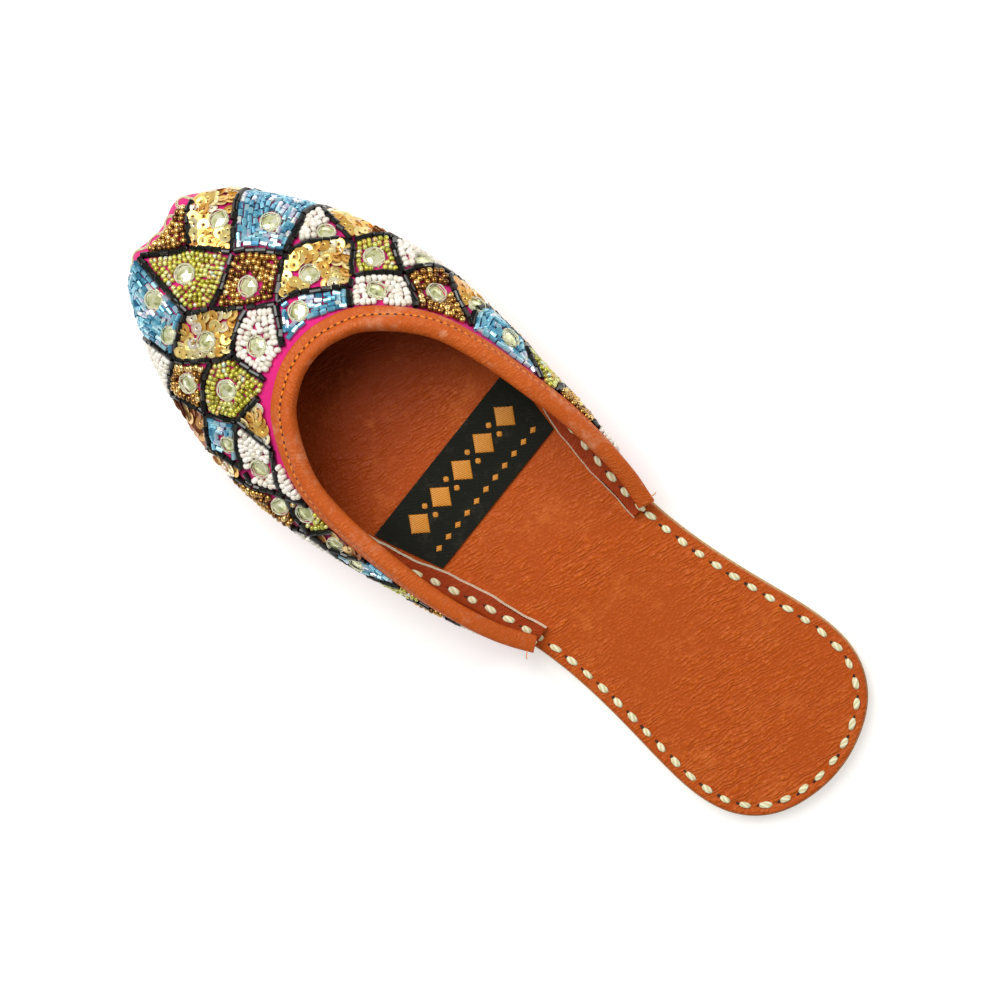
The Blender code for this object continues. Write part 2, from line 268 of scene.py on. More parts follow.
def wall_top(share):
    """Height of the cut edge above the fold, at a share round the shoe (-1 to 1)."""
    return np.interp(np.abs(share), columns, wall_height[:, 0])


def wall_at(share, height, out=0.0):
    """Points and normals at shares round the shoe, heights up the wall and distances out from it.

    The share is -1 at the left wing end, 0 at the toe and 1 at the right wing end. Values between
    the columns and rows of the map are weighted means of its four nearest points.
    """
    share, height, out = np.broadcast_arrays(share, height, out)
    column = np.clip((share + 1) * COLUMNS, 0, 2 * COLUMNS - 1e-6)
    row = np.clip(height / wall_top(share) / t_rows[-1] * T_ROWS, 0, T_ROWS - 1e-6)
    i, j = column.astype(int), row.astype(int)
    a, b = (column - i)[..., None], (row - j)[..., None]

    def mix(grid):
        near = grid[i, j] * (1 - b) + grid[i, j + 1] * b
        far = grid[i + 1, j] * (1 - b) + grid[i + 1, j + 1] * b
        return near * (1 - a) + far * a

    normal = unit(mix(wall_normals))
    return mix(wall_points) + normal * out[..., None], normal


print("wall map:", wall_points.shape, "points")

# %% [markdown]
# ## Tools for looks
#
# A material is a small net of nodes. A few helpers keep that net readable: one makes a node and
# wires its sockets, one does arithmetic, two handle colours, and one builds a group that several
# materials share. Every colour is written as the eye reads it, 0 to 255, and turned to linear
# light here.

# %% Node helpers
looks = {}


def linear(*rgb):
    """A colour read by eye (0 to 255) as linear light with full alpha: the sRGB curve undone."""
    c = np.array(rgb) / 255
    return (*np.where(c <= 0.04045, c / 12.92, ((c + 0.055) / 1.055) ** 2.4).tolist(), 1.0)


def node(tree, kind, sockets=None, **settings):
    """A shader node with its settings made and its sockets set or wired, by name or number."""
    made = tree.nodes.new("ShaderNode" + kind)
    for name, value in settings.items():
        setattr(made, name, value)
    for socket, value in (sockets or {}).items():
        if isinstance(value, bpy.types.NodeSocket):
            tree.links.new(value, made.inputs[socket])
        else:
            made.inputs[socket].default_value = value
    return made


def sum_of(tree, operation, a, b=0.0, c=0.0):
    """The result of one arithmetic step on values or sockets."""
    return node(tree, "Math", {0: a, 1: b, 2: c}, operation=operation).outputs[0]


def ramp(tree, value, stops):
    """A colour ramp over a value: stops are (position, red, green, blue) with colours 0 to 255."""
    made = node(tree, "ValToRGB", {"Fac": value})
    line = made.color_ramp
    for k, (position, *rgb) in enumerate(stops):
        stop = line.elements[k] if k < 2 else line.elements.new(position)
        stop.position, stop.color = position, linear(*rgb)
    return made.outputs["Color"]


def blend(tree, factor, a, b):
    """Two colours mixed by a factor: a at 0, b at 1."""
    made = node(tree, "Mix", data_type="RGBA")
    for socket, value in (("Factor_Float", factor), ("A_Color", a), ("B_Color", b)):
        place = next(s for s in made.inputs if s.identifier == socket)
        if isinstance(value, bpy.types.NodeSocket):
            tree.links.new(value, place)
        else:
            place.default_value = value
    return next(s for s in made.outputs if s.identifier == "Result_Color")


def group(name, inputs, outputs, wire):
    """A node group: inputs are name: start value, outputs name: kind, wire returns the sockets."""
    tree = bpy.data.node_groups.new(name, "ShaderNodeTree")
    kinds = {float: "NodeSocketFloat", tuple: "NodeSocketColor", type(None): "NodeSocketVector"}
    for socket, value in inputs.items():
        made = tree.interface.new_socket(socket, in_out="INPUT", socket_type=kinds[type(value)])
        if value is not None:
            made.default_value = value
    for socket, kind in outputs.items():
        tree.interface.new_socket(socket, in_out="OUTPUT", socket_type="NodeSocket" + kind)
    results = wire(tree, tree.nodes.new("NodeGroupInput").outputs)
    end = tree.nodes.new("NodeGroupOutput")
    for socket, value in results.items():
        tree.links.new(value, end.inputs[socket])
    return tree


def use(tree, made_group, sockets):
    """A group placed in a tree with its sockets set or wired."""
    return node(tree, "Group", sockets, node_tree=made_group)


def material(name, wire, **constants):
    """A material: constants go on the shader's own sockets, wire returns the changing ones."""
    made = bpy.data.materials.new(name)
    made.use_nodes = True
    tree = made.node_tree
    shader = tree.nodes["Principled BSDF"]
    for socket, value in constants.items():
        shader.inputs[socket.replace("_", " ")].default_value = value
    for socket, value in wire(tree).items():
        tree.links.new(value, shader.inputs[socket])
    looks[name] = made


def measure(tree):
    """The piece's own two measures, in metres."""
    return node(tree, "UVMap", uv_map="measure").outputs["UV"]


def bumped(tree, height):
    """A normal from a height in millimetres."""
    return node(tree, "Bump", {"Strength": 1.0, "Distance": MM, "Height": height}).outputs[0]


def turned_to(tree, vector, degrees, scale):
    """A measure turned and stretched, for a pattern that runs one way."""
    rotation = (0, 0, math.radians(degrees))
    mapped = node(tree, "Mapping", {"Vector": vector, "Rotation": rotation}).outputs[0]
    return node(tree, "VectorMath", {0: mapped, 1: scale}, operation="MULTIPLY").outputs[0]


print("node helpers ready")

# %% [markdown]
# ## Leather, cloth and thread patterns
#
# Four patterns are shared. Grain gives leather its pebbles and the flowing ridges where it was
# stretched. Wear is the uneven mask of rubbed and dusty places. Weave is over and under threads.
# Twist is the rope pattern of a plied thread. Each puts out a height or a mask, never a shader.

# %% Shared groups
def grain_nodes(tree, given):
    """Height of leather grain: pebbles (rounded cells) plus ridges (long cells and a bent wave).

    The ridges come and go with two noises, a wide and a broken one. Crease is 1 in the grooves.
    """
    vector, flow = given["Vector"], given["Flow"]
    drift = node(tree, "TexNoise", {"Vector": vector, "Scale": 260.0, "Detail": 2.0})
    shift = node(tree, "VectorMath", {0: drift.outputs["Color"], "Scale": 0.0011},
                 operation="SCALE").outputs[0]
    moved = node(tree, "VectorMath", {0: vector, 1: shift}, operation="ADD").outputs[0]
    cells = node(tree, "TexVoronoi", {"Vector": moved, "Scale": given["Pebbles"],
                                      "Smoothness": 0.35}, feature="SMOOTH_F1")
    groove = node(tree, "MapRange", {"Value": cells.outputs["Distance"], "From Min": 0.62,
                                     "From Max": 0.12},
                  interpolation_type="SMOOTHSTEP").outputs[0]
    wave = node(tree, "TexWave", {"Vector": flow, "Scale": 1.0, "Distortion": 11.0, "Detail": 2.0,
                                  "Detail Scale": 1.4, "Detail Roughness": 0.5},
                bands_direction="Y").outputs["Fac"]
    wide = node(tree, "TexNoise", {"Vector": vector, "Scale": 30.0, "Detail": 1.0}).outputs["Fac"]
    broken = node(tree, "TexNoise", {"Vector": vector, "Scale": 210.0, "Detail": 2.0})
    reach = node(tree, "MapRange", {"Value": sum_of(tree, "ADD", wide, broken.outputs["Fac"]),
                                    "From Min": 0.82, "From Max": 1.12, "To Min": 0.12}).outputs[0]
    long_cells = node(tree, "TexVoronoi", {"Vector": flow, "Scale": 3.0, "Smoothness": 0.45},
                      feature="SMOOTH_F1")
    dome = node(tree, "MapRange", {"Value": long_cells.outputs["Distance"], "From Min": 0.66,
                                   "From Max": 0.1}, interpolation_type="SMOOTHSTEP").outputs[0]
    both = sum_of(tree, "MULTIPLY_ADD", dome, 0.5, sum_of(tree, "MULTIPLY", wave, 0.5))
    ridge = sum_of(tree, "MULTIPLY", both, reach)
    pebble_height = sum_of(tree, "MULTIPLY", groove, given["Pebble Depth"])
    ridge_height = sum_of(tree, "MULTIPLY", ridge, given["Ridge Depth"])
    fine = node(tree, "TexNoise", {"Vector": vector, "Scale": 2600.0, "Detail": 2.0}).outputs["Fac"]
    height = sum_of(tree, "ADD", sum_of(tree, "ADD", pebble_height, ridge_height),
                    sum_of(tree, "MULTIPLY", fine, 0.008))
    high_part = sum_of(tree, "MULTIPLY_ADD", groove, 0.45, sum_of(tree, "MULTIPLY", ridge, 0.75))
    return {"Height": height, "Crease": node(tree, "Clamp", {
        "Value": sum_of(tree, "SUBTRACT", 1.0, high_part)}).outputs[0]}


def wear_nodes(tree, given):
    """A mask of rubbed places: a wide noise and a tight one, mixed and cut off softly."""
    wide = node(tree, "TexNoise", {"Vector": given["Vector"], "Scale": given["Scale"],
                                   "Detail": 5.0, "Roughness": 0.62})
    tight = node(tree, "TexNoise", {"Vector": given["Vector"],
                                    "Scale": sum_of(tree, "MULTIPLY", given["Scale"], 6.5),
                                    "Detail": 3.0, "Roughness": 0.7})
    mixed = sum_of(tree, "MULTIPLY_ADD", tight.outputs["Fac"], 0.35,
                   sum_of(tree, "MULTIPLY", wide.outputs["Fac"], 0.65))
    mask = node(tree, "MapRange", {"Value": mixed, "From Min": 0.5, "From Max": 0.66},
                interpolation_type="SMOOTHSTEP").outputs[0]
    return {"Mask": sum_of(tree, "MULTIPLY", mask, given["Amount"]), "Patches": wide.outputs["Fac"]}


def weave_nodes(tree, given):
    """Height of a plain weave: the product of a sine across and a sine along, with uneven yarn."""
    across = node(tree, "SeparateXYZ", {0: given["Vector"]}).outputs
    turns = sum_of(tree, "MULTIPLY", given["Threads"], 2 * math.pi)
    warp = sum_of(tree, "SINE", sum_of(tree, "MULTIPLY", across[0], turns))
    weft = sum_of(tree, "SINE", sum_of(tree, "MULTIPLY", across[1], turns))
    cross = sum_of(tree, "MULTIPLY", warp, weft)
    slub = node(tree, "TexNoise", {"Vector": given["Vector"], "Scale": 900.0, "Detail": 3.0})
    height = sum_of(tree, "MULTIPLY_ADD", cross, 0.5,
                    sum_of(tree, "MULTIPLY", slub.outputs[0], 0.8))
    return {"Height": height, "Slub": slub.outputs["Fac"]}


def twist_nodes(tree, given):
    """Height of a plied thread: a sine over slanted lines, with fine hairs."""
    across = node(tree, "SeparateXYZ", {0: given["Vector"]}).outputs
    slanted = sum_of(tree, "MULTIPLY_ADD", across[1], given["Slant"], across[0])
    wave = sum_of(tree, "SINE", sum_of(tree, "MULTIPLY", slanted,
                                       sum_of(tree, "MULTIPLY", given["Plies"], 2 * math.pi)))
    hairs = node(tree, "TexNoise", {"Vector": given["Vector"], "Scale": 3800.0, "Detail": 2.0})
    height = sum_of(tree, "MULTIPLY_ADD", wave, 0.5,
                    sum_of(tree, "MULTIPLY", hairs.outputs[0], 0.5))
    return {"Height": height, "Hairs": hairs.outputs["Fac"]}


GRAIN = group("leather grain", {"Vector": None, "Flow": None, "Pebbles": 850.0,
                                "Pebble Depth": 0.08, "Ridge Depth": 0.1},
              {"Height": "Float", "Crease": "Float"}, grain_nodes)
WEAR = group("wear", {"Vector": None, "Scale": 60.0, "Amount": 1.0},
             {"Mask": "Float", "Patches": "Float"}, wear_nodes)
WEAVE = group("weave", {"Vector": None, "Threads": 2200.0},
              {"Height": "Float", "Slub": "Float"}, weave_nodes)
TWIST = group("twist", {"Vector": None, "Plies": 1600.0, "Slant": 1.0},
              {"Height": "Float", "Hairs": "Float"}, twist_nodes)
print("groups:", [made.name for made in (GRAIN, WEAR, WEAVE, TWIST)])

# %% [markdown]
# ## The leathers
#
# The tan leather is drum dyed: even orange brown, with painted shade in its grooves and a painted
# highlight on its tops, a little paler and smoother where it is rubbed, and painted darker towards
# the toe as the shade under the vamp. The insole shows flowing ridges at an angle to the shoe, the
# binding fine wrinkles across its strip. One function reads a row of this table for each leather.

# %% Leather looks
LEATHERS = {
    # colour, painted shade, rubbed and painted highlight; pebbles a metre, depth mm; ridge turn,
    # scale, depth mm; roughness
    "tan_leather": ((197, 85, 4), (144, 50, 0), (230, 126, 50), 1000.0, 0.08,
                    -20, (125, 270, 1), 0.30, 0.40),
    "lining_leather": ((170, 60, 4), (114, 34, 0), (190, 84, 24), 900.0, 0.09,
                       70, (110, 190, 1), 0.08, 0.5),
    "binding_leather": ((214, 100, 22), (160, 58, 8), (250, 200, 160), 1150.0, 0.06,
                        74, (150, 300, 1), 0.17, 0.42),
    "sole_leather": ((214, 172, 118), (150, 96, 56), (236, 208, 168), 700.0, 0.06,
                     0, (60, 250, 1), 0.06, 0.75),
}
SCUFF = bent(np.array([[28.8, 88.0, 38.2]]) * MM)[0]  # one small scuff on the binding
RIDGE_HIGHLIGHT = {"tan_leather": 0.35}
SHINE = {"binding_leather": 0.28}


def leather(name):
    """A leather: wear tints its colour, grain adds painted shade to its grooves and a painted
    highlight to its tops, and its own marks come on top: painted shade towards the toe on the tan
    leather, a scuff on the binding.
    """
    color, dark, pale, pebbles, pebble_depth, turn, scale, ridge_depth, rough = LEATHERS[name]

    def wire(tree):
        place = measure(tree)
        grain = use(tree, GRAIN, {"Vector": place, "Flow": turned_to(tree, place, turn, scale),
                                  "Pebbles": pebbles, "Pebble Depth": pebble_depth,
                                  "Ridge Depth": ridge_depth})
        wear = use(tree, WEAR, {"Vector": place, "Scale": 55.0, "Amount": 0.5})
        tone = blend(tree, sum_of(tree, "MULTIPLY", wear.outputs["Patches"], 0.5),
                     linear(*color), linear(*(np.array(color) * 0.86)))
        # painted shade: the grooves of the grain are darkened
        tone = blend(tree, sum_of(tree, "MULTIPLY", grain.outputs["Crease"], 0.42), tone,
                     linear(*dark))
        # painted highlight: the tops of the grain are lightened
        top = sum_of(tree, "POWER", sum_of(tree, "SUBTRACT", 1.0, grain.outputs["Crease"]), 3.0)
        tone = blend(tree, sum_of(tree, "MULTIPLY", top, RIDGE_HIGHLIGHT.get(name, 0.06)), tone,
                     linear(*pale))
        rub = sum_of(tree, "MULTIPLY", wear.outputs["Mask"], 0.5)
        # painted shade: the tan leather is darkened towards the toe, where the vamp shades the
        # forefoot
        if name == "tan_leather":
            ahead = node(tree, "SeparateXYZ", {0: node(tree, "TexCoord").outputs["Object"]})
            painted_toe_shade = node(tree, "MapRange", {"Value": ahead.outputs[1], "From Min": 0.01,
                                              "From Max": 0.05, "To Max": 0.8},
                           interpolation_type="SMOOTHSTEP").outputs[0]
            tone = blend(tree, painted_toe_shade, tone, linear(*dark))
        if name == "binding_leather":
            spot = node(tree, "TexCoord").outputs["Object"]
            away = node(tree, "VectorMath", {0: spot, 1: tuple(SCUFF)}, operation="DISTANCE")
            near = node(tree, "MapRange", {"Value": away.outputs["Value"], "From Min": 0.0003,
                                           "From Max": 0.0018, "To Min": 0.8, "To Max": 0.0})
            speck = node(tree, "TexNoise", {"Vector": spot, "Scale": 900.0}).outputs["Fac"]
            rub = sum_of(tree, "MULTIPLY_ADD", near.outputs[0], speck, rub)
        tone = blend(tree, rub, tone, linear(*pale))
        roughness = sum_of(tree, "MULTIPLY_ADD", grain.outputs["Crease"], 0.22,
                           sum_of(tree, "SUBTRACT", rough, sum_of(tree, "MULTIPLY", rub, 0.15)))
        return {"Base Color": tone, "Roughness": roughness,
                "Normal": bumped(tree, grain.outputs["Height"])}

    material(name, wire, Specular_IOR_Level=SHINE.get(name, 0.2))


for name in LEATHERS:
    leather(name)
print("leathers:", list(LEATHERS))

# %% [markdown]
# ## Cloth, ribbon and threads
#
# The magenta cloth is a plain weave with a bright, slightly uneven dye. The ribbon is close black
# twill. Threads share one function: a colour, a paler one painted on the crowns of the twist as a
# highlight, and the number of plies in a metre.

# %% Cloth and thread looks
def cloth_nodes(tree):
    """Magenta cloth: the weave's height is bumped, its uneven yarn darkens the dye."""
    place = measure(tree)
    weave = use(tree, WEAVE, {"Vector": place, "Threads": 1500.0})
    wear = use(tree, WEAR, {"Vector": place, "Scale": 90.0, "Amount": 0.35})
    tone = blend(tree, wear.outputs["Patches"], linear(240, 22, 138), linear(226, 14, 124))
    tone = blend(tree, sum_of(tree, "MULTIPLY", weave.outputs["Slub"], 0.3), tone,
                 linear(176, 8, 92))
    tone = blend(tree, sum_of(tree, "MULTIPLY", wear.outputs["Mask"], 0.3), tone,
                 linear(240, 80, 160))
    return {"Base Color": tone, "Roughness": sum_of(tree, "MULTIPLY_ADD", weave.outputs["Slub"],
                                                    0.2, 0.68),
            "Normal": bumped(tree, sum_of(tree, "MULTIPLY", weave.outputs["Height"], 0.06))}


def ribbon_nodes(tree):
    """Black ribbon: a twill line over a fine weave, dusty where it is worn."""
    place = measure(tree)
    twill = use(tree, TWIST, {"Vector": place, "Plies": 1300.0, "Slant": 1.0})
    weave = use(tree, WEAVE, {"Vector": place, "Threads": 2000.0})
    wear = use(tree, WEAR, {"Vector": place, "Scale": 140.0, "Amount": 0.6})
    tone = blend(tree, sum_of(tree, "MULTIPLY", twill.outputs["Height"], 0.5),
                 linear(22, 24, 18), linear(38, 39, 31))
    tone = blend(tree, sum_of(tree, "MULTIPLY", wear.outputs["Mask"], 0.25), tone,
                 linear(96, 88, 74))
    height = sum_of(tree, "ADD", twill.outputs["Height"], weave.outputs["Height"])
    return {"Base Color": tone, "Roughness": sum_of(tree, "MULTIPLY_ADD", weave.outputs["Slub"],
                                                    0.2, 0.6),
            "Normal": bumped(tree, sum_of(tree, "MULTIPLY", height, 0.05))}


def raw_edge_nodes(tree):
    """The cut edge of the leather: pale, fibrous, with stained patches."""
    place = measure(tree)
    wear = use(tree, WEAR, {"Vector": place, "Scale": 400.0, "Amount": 0.8})
    tone = blend(tree, wear.outputs["Patches"], linear(255, 250, 226), linear(246, 226, 190))
    tone = blend(tree, sum_of(tree, "MULTIPLY", wear.outputs["Mask"], 0.6), tone,
                 linear(190, 130, 90))
    return {"Base Color": tone, "Roughness": sum_of(tree, "MULTIPLY_ADD", wear.outputs["Mask"],
                                                    0.1, 0.8),
            "Normal": bumped(tree, sum_of(tree, "MULTIPLY", wear.outputs["Patches"], 0.3))}


material("magenta_cloth", cloth_nodes, Sheen_Weight=0.3, Sheen_Roughness=0.4)
material("black_ribbon", ribbon_nodes, Specular_IOR_Level=0.12)
material("raw_edge", raw_edge_nodes)

THREADS = {
    # colour, painted crown highlight; plies a metre, slant, depth mm, roughness
    "cream_thread": ((216, 208, 156), (246, 242, 208), 430.0, 1.6, 0.10, 0.5),
    "orange_thread": ((226, 112, 6), (252, 156, 44), 2600.0, 0.8, 0.06, 0.45),
    "ring_thread": ((222, 224, 186), (250, 250, 226), 2600.0, 0.8, 0.05, 0.25),
    "gold_thread": ((214, 206, 158), (246, 242, 206), 2600.0, 0.8, 0.05, 0.4),
    "motif_thread": ((196, 118, 26), (232, 160, 58), 1900.0, 0.25, 0.10, 0.42),
    "hole_shade": ((44, 20, 10), (70, 34, 18), 900.0, 0.5, 0.04, 0.8),
}


def thread(name):
    """A thread: its twist raises it and a painted highlight lightens its crowns, and each copy is a
    little darker.
    """
    color, crown_highlight, plies, slant, depth, rough = THREADS[name]

    def wire(tree):
        twist = use(tree, TWIST, {"Vector": measure(tree), "Plies": plies, "Slant": slant})
        chance = node(tree, "Attribute", attribute_name="chance").outputs["Fac"]
        # painted highlight: the crowns of the twist are lightened
        lift = node(tree, "MapRange", {"Value": twist.outputs["Height"], "From Min": -0.2,
                                       "From Max": 0.7}, interpolation_type="SMOOTHSTEP")
        tone = blend(tree, lift.outputs[0], linear(*color), linear(*crown_highlight))
        tone = blend(tree, sum_of(tree, "MULTIPLY", chance, 0.16), tone,
                     linear(*(np.array(color) * 0.72)))
        return {"Base Color": tone,
                "Roughness": sum_of(tree, "MULTIPLY_ADD", twist.outputs["Hairs"], 0.2, rough - 0.1),
                "Normal": bumped(tree, sum_of(tree, "MULTIPLY", twist.outputs["Height"], depth))}

    material(name, wire)


for name in THREADS:
    thread(name)
print("threads:", list(THREADS))

# %% [markdown]
# ## Glass, metal and mirror
#
# No two beads in a string are alike: glass is pressed and coated in batches. Each copy in the
# joined meshes carries a random number, and a ramp turns it into one of the colours seen in that
# field. A fine noise over each bead adds the mottle of its coating.

# %% Bead looks
def batch_nodes(tree, given):
    """Place of a bead in its batch, 0 to 1: its random number, moved a little by a mottle noise."""
    mottle = node(tree, "TexNoise", {"Vector": given["Vector"], "Scale": given["Scale"],
                                     "Detail": 2.0})
    mixed = sum_of(tree, "MULTIPLY_ADD", sum_of(tree, "SUBTRACT", mottle.outputs["Fac"], 0.5),
                   given["Mottle"], given["Chance"])
    return {"Place": node(tree, "Clamp", {"Value": mixed}).outputs[0],
            "Mottle": mottle.outputs["Fac"]}


BATCH = group("bead batch", {"Vector": None, "Chance": 0.5, "Scale": 700.0, "Mottle": 0.4},
              {"Place": "Float", "Mottle": "Float"}, batch_nodes)
GLASS = {
    # ramp over the batch; metal, roughness, coat, film nm, mottle, bump mm
    "white": ([(0, 216, 208, 190), (0.25, 238, 232, 218), (0.7, 250, 246, 236),
               (0.9, 242, 228, 218), (1, 230, 222, 196)], 0.0, 0.2, 1.0, 0, 0.35, 0.02),
    "bronze": ([(0, 104, 66, 18), (0.35, 168, 116, 42), (0.7, 214, 166, 78),
                (1, 250, 220, 146)], 0.9, 0.2, 0.6, 0, 0.5, 0.02),
    "olive": ([(0, 146, 134, 12), (0.25, 184, 178, 28), (0.5, 214, 208, 66),
               (0.68, 234, 232, 158), (0.8, 190, 208, 92), (0.9, 228, 164, 70),
               (1, 206, 230, 214)], 0.25, 0.12, 1.0, 480, 0.7, 0.02),
    "blue": ([(0, 48, 124, 162), (0.3, 98, 178, 208), (0.6, 142, 208, 226),
              (0.8, 184, 224, 234), (0.9, 198, 190, 224), (1, 242, 248, 238)],
             0.45, 0.11, 1.0, 420, 0.8, 0.02),
    "black": ([(0, 8, 8, 5), (0.7, 16, 16, 12), (1, 30, 30, 24)], 0.0, 0.16, 0.15, 0, 0.3, 0.02),
    "gold": ([(0, 222, 158, 62), (0.25, 242, 192, 92), (0.5, 252, 216, 122),
              (0.7, 240, 220, 142), (0.84, 255, 236, 168), (0.94, 254, 250, 234),
              (0.97, 180, 120, 50)], 0.6, 0.25, 0.6, 0, 0.25, 0.02),
    "copper": ([(0, 124, 62, 22), (0.35, 180, 104, 44), (0.7, 216, 152, 80),
                (1, 246, 208, 136)], 0.65, 0.28, 0.6, 0, 0.2, 0.02),
    "mirror": ([(0, 138, 140, 82), (0.25, 202, 206, 142), (0.55, 234, 236, 184),
                (1, 255, 254, 236)], 0.4, 0.04, 1.0, 0, 0.5, 0.01),
}


def glass(name):
    """A bead's finish: a ramp over its place in the batch, a clear coat and a thin film."""
    stops, metal, rough, coat, film, mottle, depth = GLASS[name]

    def wire(tree):
        chance = node(tree, "Attribute", attribute_name="chance").outputs["Fac"]
        batch = use(tree, BATCH, {"Vector": node(tree, "TexCoord").outputs["Object"],
                                  "Chance": chance, "Mottle": mottle})
        return {"Base Color": ramp(tree, batch.outputs["Place"], stops),
                "Roughness": sum_of(tree, "MULTIPLY_ADD", batch.outputs["Mottle"], 0.2,
                                    rough - 0.06),
                "Normal": bumped(tree, sum_of(tree, "MULTIPLY", batch.outputs["Mottle"], depth))}

    material(name, wire, Metallic=metal, Coat_Weight=coat, Coat_Roughness=0.06,
             Thin_Film_Thickness=film, Thin_Film_IOR=1.5)


for name in GLASS:
    glass(name)
print("beads:", list(GLASS))

# %% [markdown]
# ## Building meshes from arrays
#
# Every surface below is a grid of points worked out at once. Most have closed rings as rows, as in
# a tube, and caps at their ends. Faces are numbered by one rule and then all turned outwards. Each
# surface also keeps two measures as its UV map, in metres, so that a grain or a weave runs along
# the piece and not through the world.

# %% Mesh helpers
def add_mesh(name, points, faces, stands_for=None, uv=None, smooth=True, finish=()):
    """A new piece from points and faces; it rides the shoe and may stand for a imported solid.

    Its faces are turned outwards before the measures are laid on them, because turning a face
    changes the order of its corners.
    """
    mesh = bpy.data.meshes.new(name)
    mesh.from_pydata(points.tolist(), [], faces.tolist() if hasattr(faces, "tolist") else faces)
    turned_out = bmesh.new()
    turned_out.from_mesh(mesh)
    bmesh.ops.recalc_face_normals(turned_out, faces=turned_out.faces)
    turned_out.to_mesh(mesh)
    turned_out.free()
    if uv is not None:
        layer = mesh.uv_layers.new(name="measure")
        corner = np.empty(len(mesh.loops), np.int32)
        mesh.loops.foreach_get("vertex_index", corner)
        layer.data.foreach_set("uv", uv[corner].astype(np.float32).ravel())
    if smooth:
        mesh.shade_smooth()
    for look in finish:
        mesh.materials.append(look)
    piece = bpy.data.objects.new(name, mesh)
    scene.collection.objects.link(piece)
    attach(piece, "root")
    if stands_for:
        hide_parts(stands_for)
    return piece


def ring_faces(rows, around, joined_up=False):
    """Quads between closed rings of points, row after row; joined_up closes last row to first.

    Point k of row r has the number r * around + k. Each quad takes two neighbours of one ring and
    the two beside them in the next ring.
    """
    index = np.arange(rows * around).reshape(rows, around)
    a, b = (index, np.roll(index, -1, axis=0)) if joined_up else (index[:-1], index[1:])
    return np.stack([a, np.roll(a, -1, axis=1), np.roll(b, -1, axis=1), b], axis=-1).reshape(-1, 4)


def capped(rows, around):
    """The faces of a tube whose two ends are closed by one face each."""
    end = rows * around - 1
    caps = [[0, *range(around - 1, 0, -1)], [end, *range(end - around + 1, end)]]
    return ring_faces(rows, around).tolist() + caps


def quad_capped(rows, around):
    """The faces of a tube whose two ends are closed by strips of quads, so that all are quads."""
    near = np.arange(around // 2 - 1)
    far = around - 1 - near
    first = np.stack([near, far, far - 1, near + 1], axis=1)
    last = np.stack([far, near, near + 1, far - 1], axis=1) + (rows - 1) * around
    return np.concatenate([ring_faces(rows, around), first, last])


MIDDLE_END = 14 * MM  # from the toe or heel to where the middle line of a flat layer starts
SEAM_ZONE = 5 * MM  # width beside the edge that is measured in mm and not in shares


def layer_solid(name, outline, profile, stands_for, finish):
    """A flat layer: a profile carried round its closed outline, each column running to the middle.

    Profile rows are (share of the way in to the middle line, distance in, height). The first rows
    are the top face and the last rows the underside; both end on the middle line, where the
    columns are welded.
    """
    middle = outline * (0, 1, 0)
    middle[:, 1] = np.clip(middle[:, 1], MIDDLE_END, LENGTH - MIDDLE_END)
    reach = np.linalg.norm((middle - outline)[:, :2], axis=1)
    way = unit((middle - outline) * (1, 1, 0))
    share, measured, height = profile.T
    inner = SEAM_ZONE + share[None, :] * (reach[:, None] - SEAM_ZONE)
    into = np.where(share[None, :] > 0, inner, measured[None, :])
    flat = outline[:, None] + way[:, None] * into[..., None]
    flat[..., 2] = height
    count, rows = flat.shape[:2]
    index = np.arange(count * rows).reshape(count, rows)
    a, b = index, np.roll(index, -1, axis=0)
    faces = np.stack([a[:, :-1], a[:, 1:], b[:, 1:], b[:, :-1]], axis=-1).reshape(-1, 4)
    uv = flat[..., :2].reshape(-1, 2)
    piece = add_mesh(name, bent(flat).reshape(-1, 3), faces, stands_for, uv,
                     finish=finish)
    shape = bmesh.new()
    shape.from_mesh(piece.data)
    bmesh.ops.remove_doubles(shape, verts=shape.verts, dist=0.00002)
    bmesh.ops.recalc_face_normals(shape, faces=shape.faces)
    shape.to_mesh(piece.data)
    shape.free()
    return piece


print("a tube of 3 rings of 4 points has", len(capped(3, 4)), "faces")

# %% [markdown]
# ## Outsole and insole
#
# Two layers of leather cut to one line, the lower one a hair wider. A knife leaves the outsole's
# edge raw and pale; the insole's edge is rounded over by wear. One profile carried round the
# outline gives the top face, the edge and the underside in a single skin.

# %% Sole layers
def leather_profile(low, high, edge_round, dip):
    """Rows from the middle of the top face out over the edge to the middle of the underside.

    The top dips along the seam, the upper edge is a quarter circle and the lower one half as round.
    """
    top = [(s, 0, high) for s in (1, 0.85, 0.7, 0.55, 0.4, 0.25, 0.12)]
    top += [(0, m * MM, high - dip * d * MM) for m, d in
            ((4.6, 0), (4.0, 0.3), (3.4, 0.9), (2.9, 1.0), (2.4, 0.9), (1.8, 0.3), (1.2, 0.05))]
    turn = np.linspace(0, 90, 6)[1:]
    over = [(0, edge_round * (1 - math.sin(a)), high - edge_round * (1 - math.cos(a)))
            for a in np.radians(turn)]
    under = [(0, edge_round * 0.5 * (1 - math.cos(a)), low + edge_round * 0.5 * (1 - math.sin(a)))
             for a in np.radians(turn)]
    base = [(s, 0, low) for s in (0.12, 0.4, 0.7, 1)]
    return np.array(top + over + under + base)


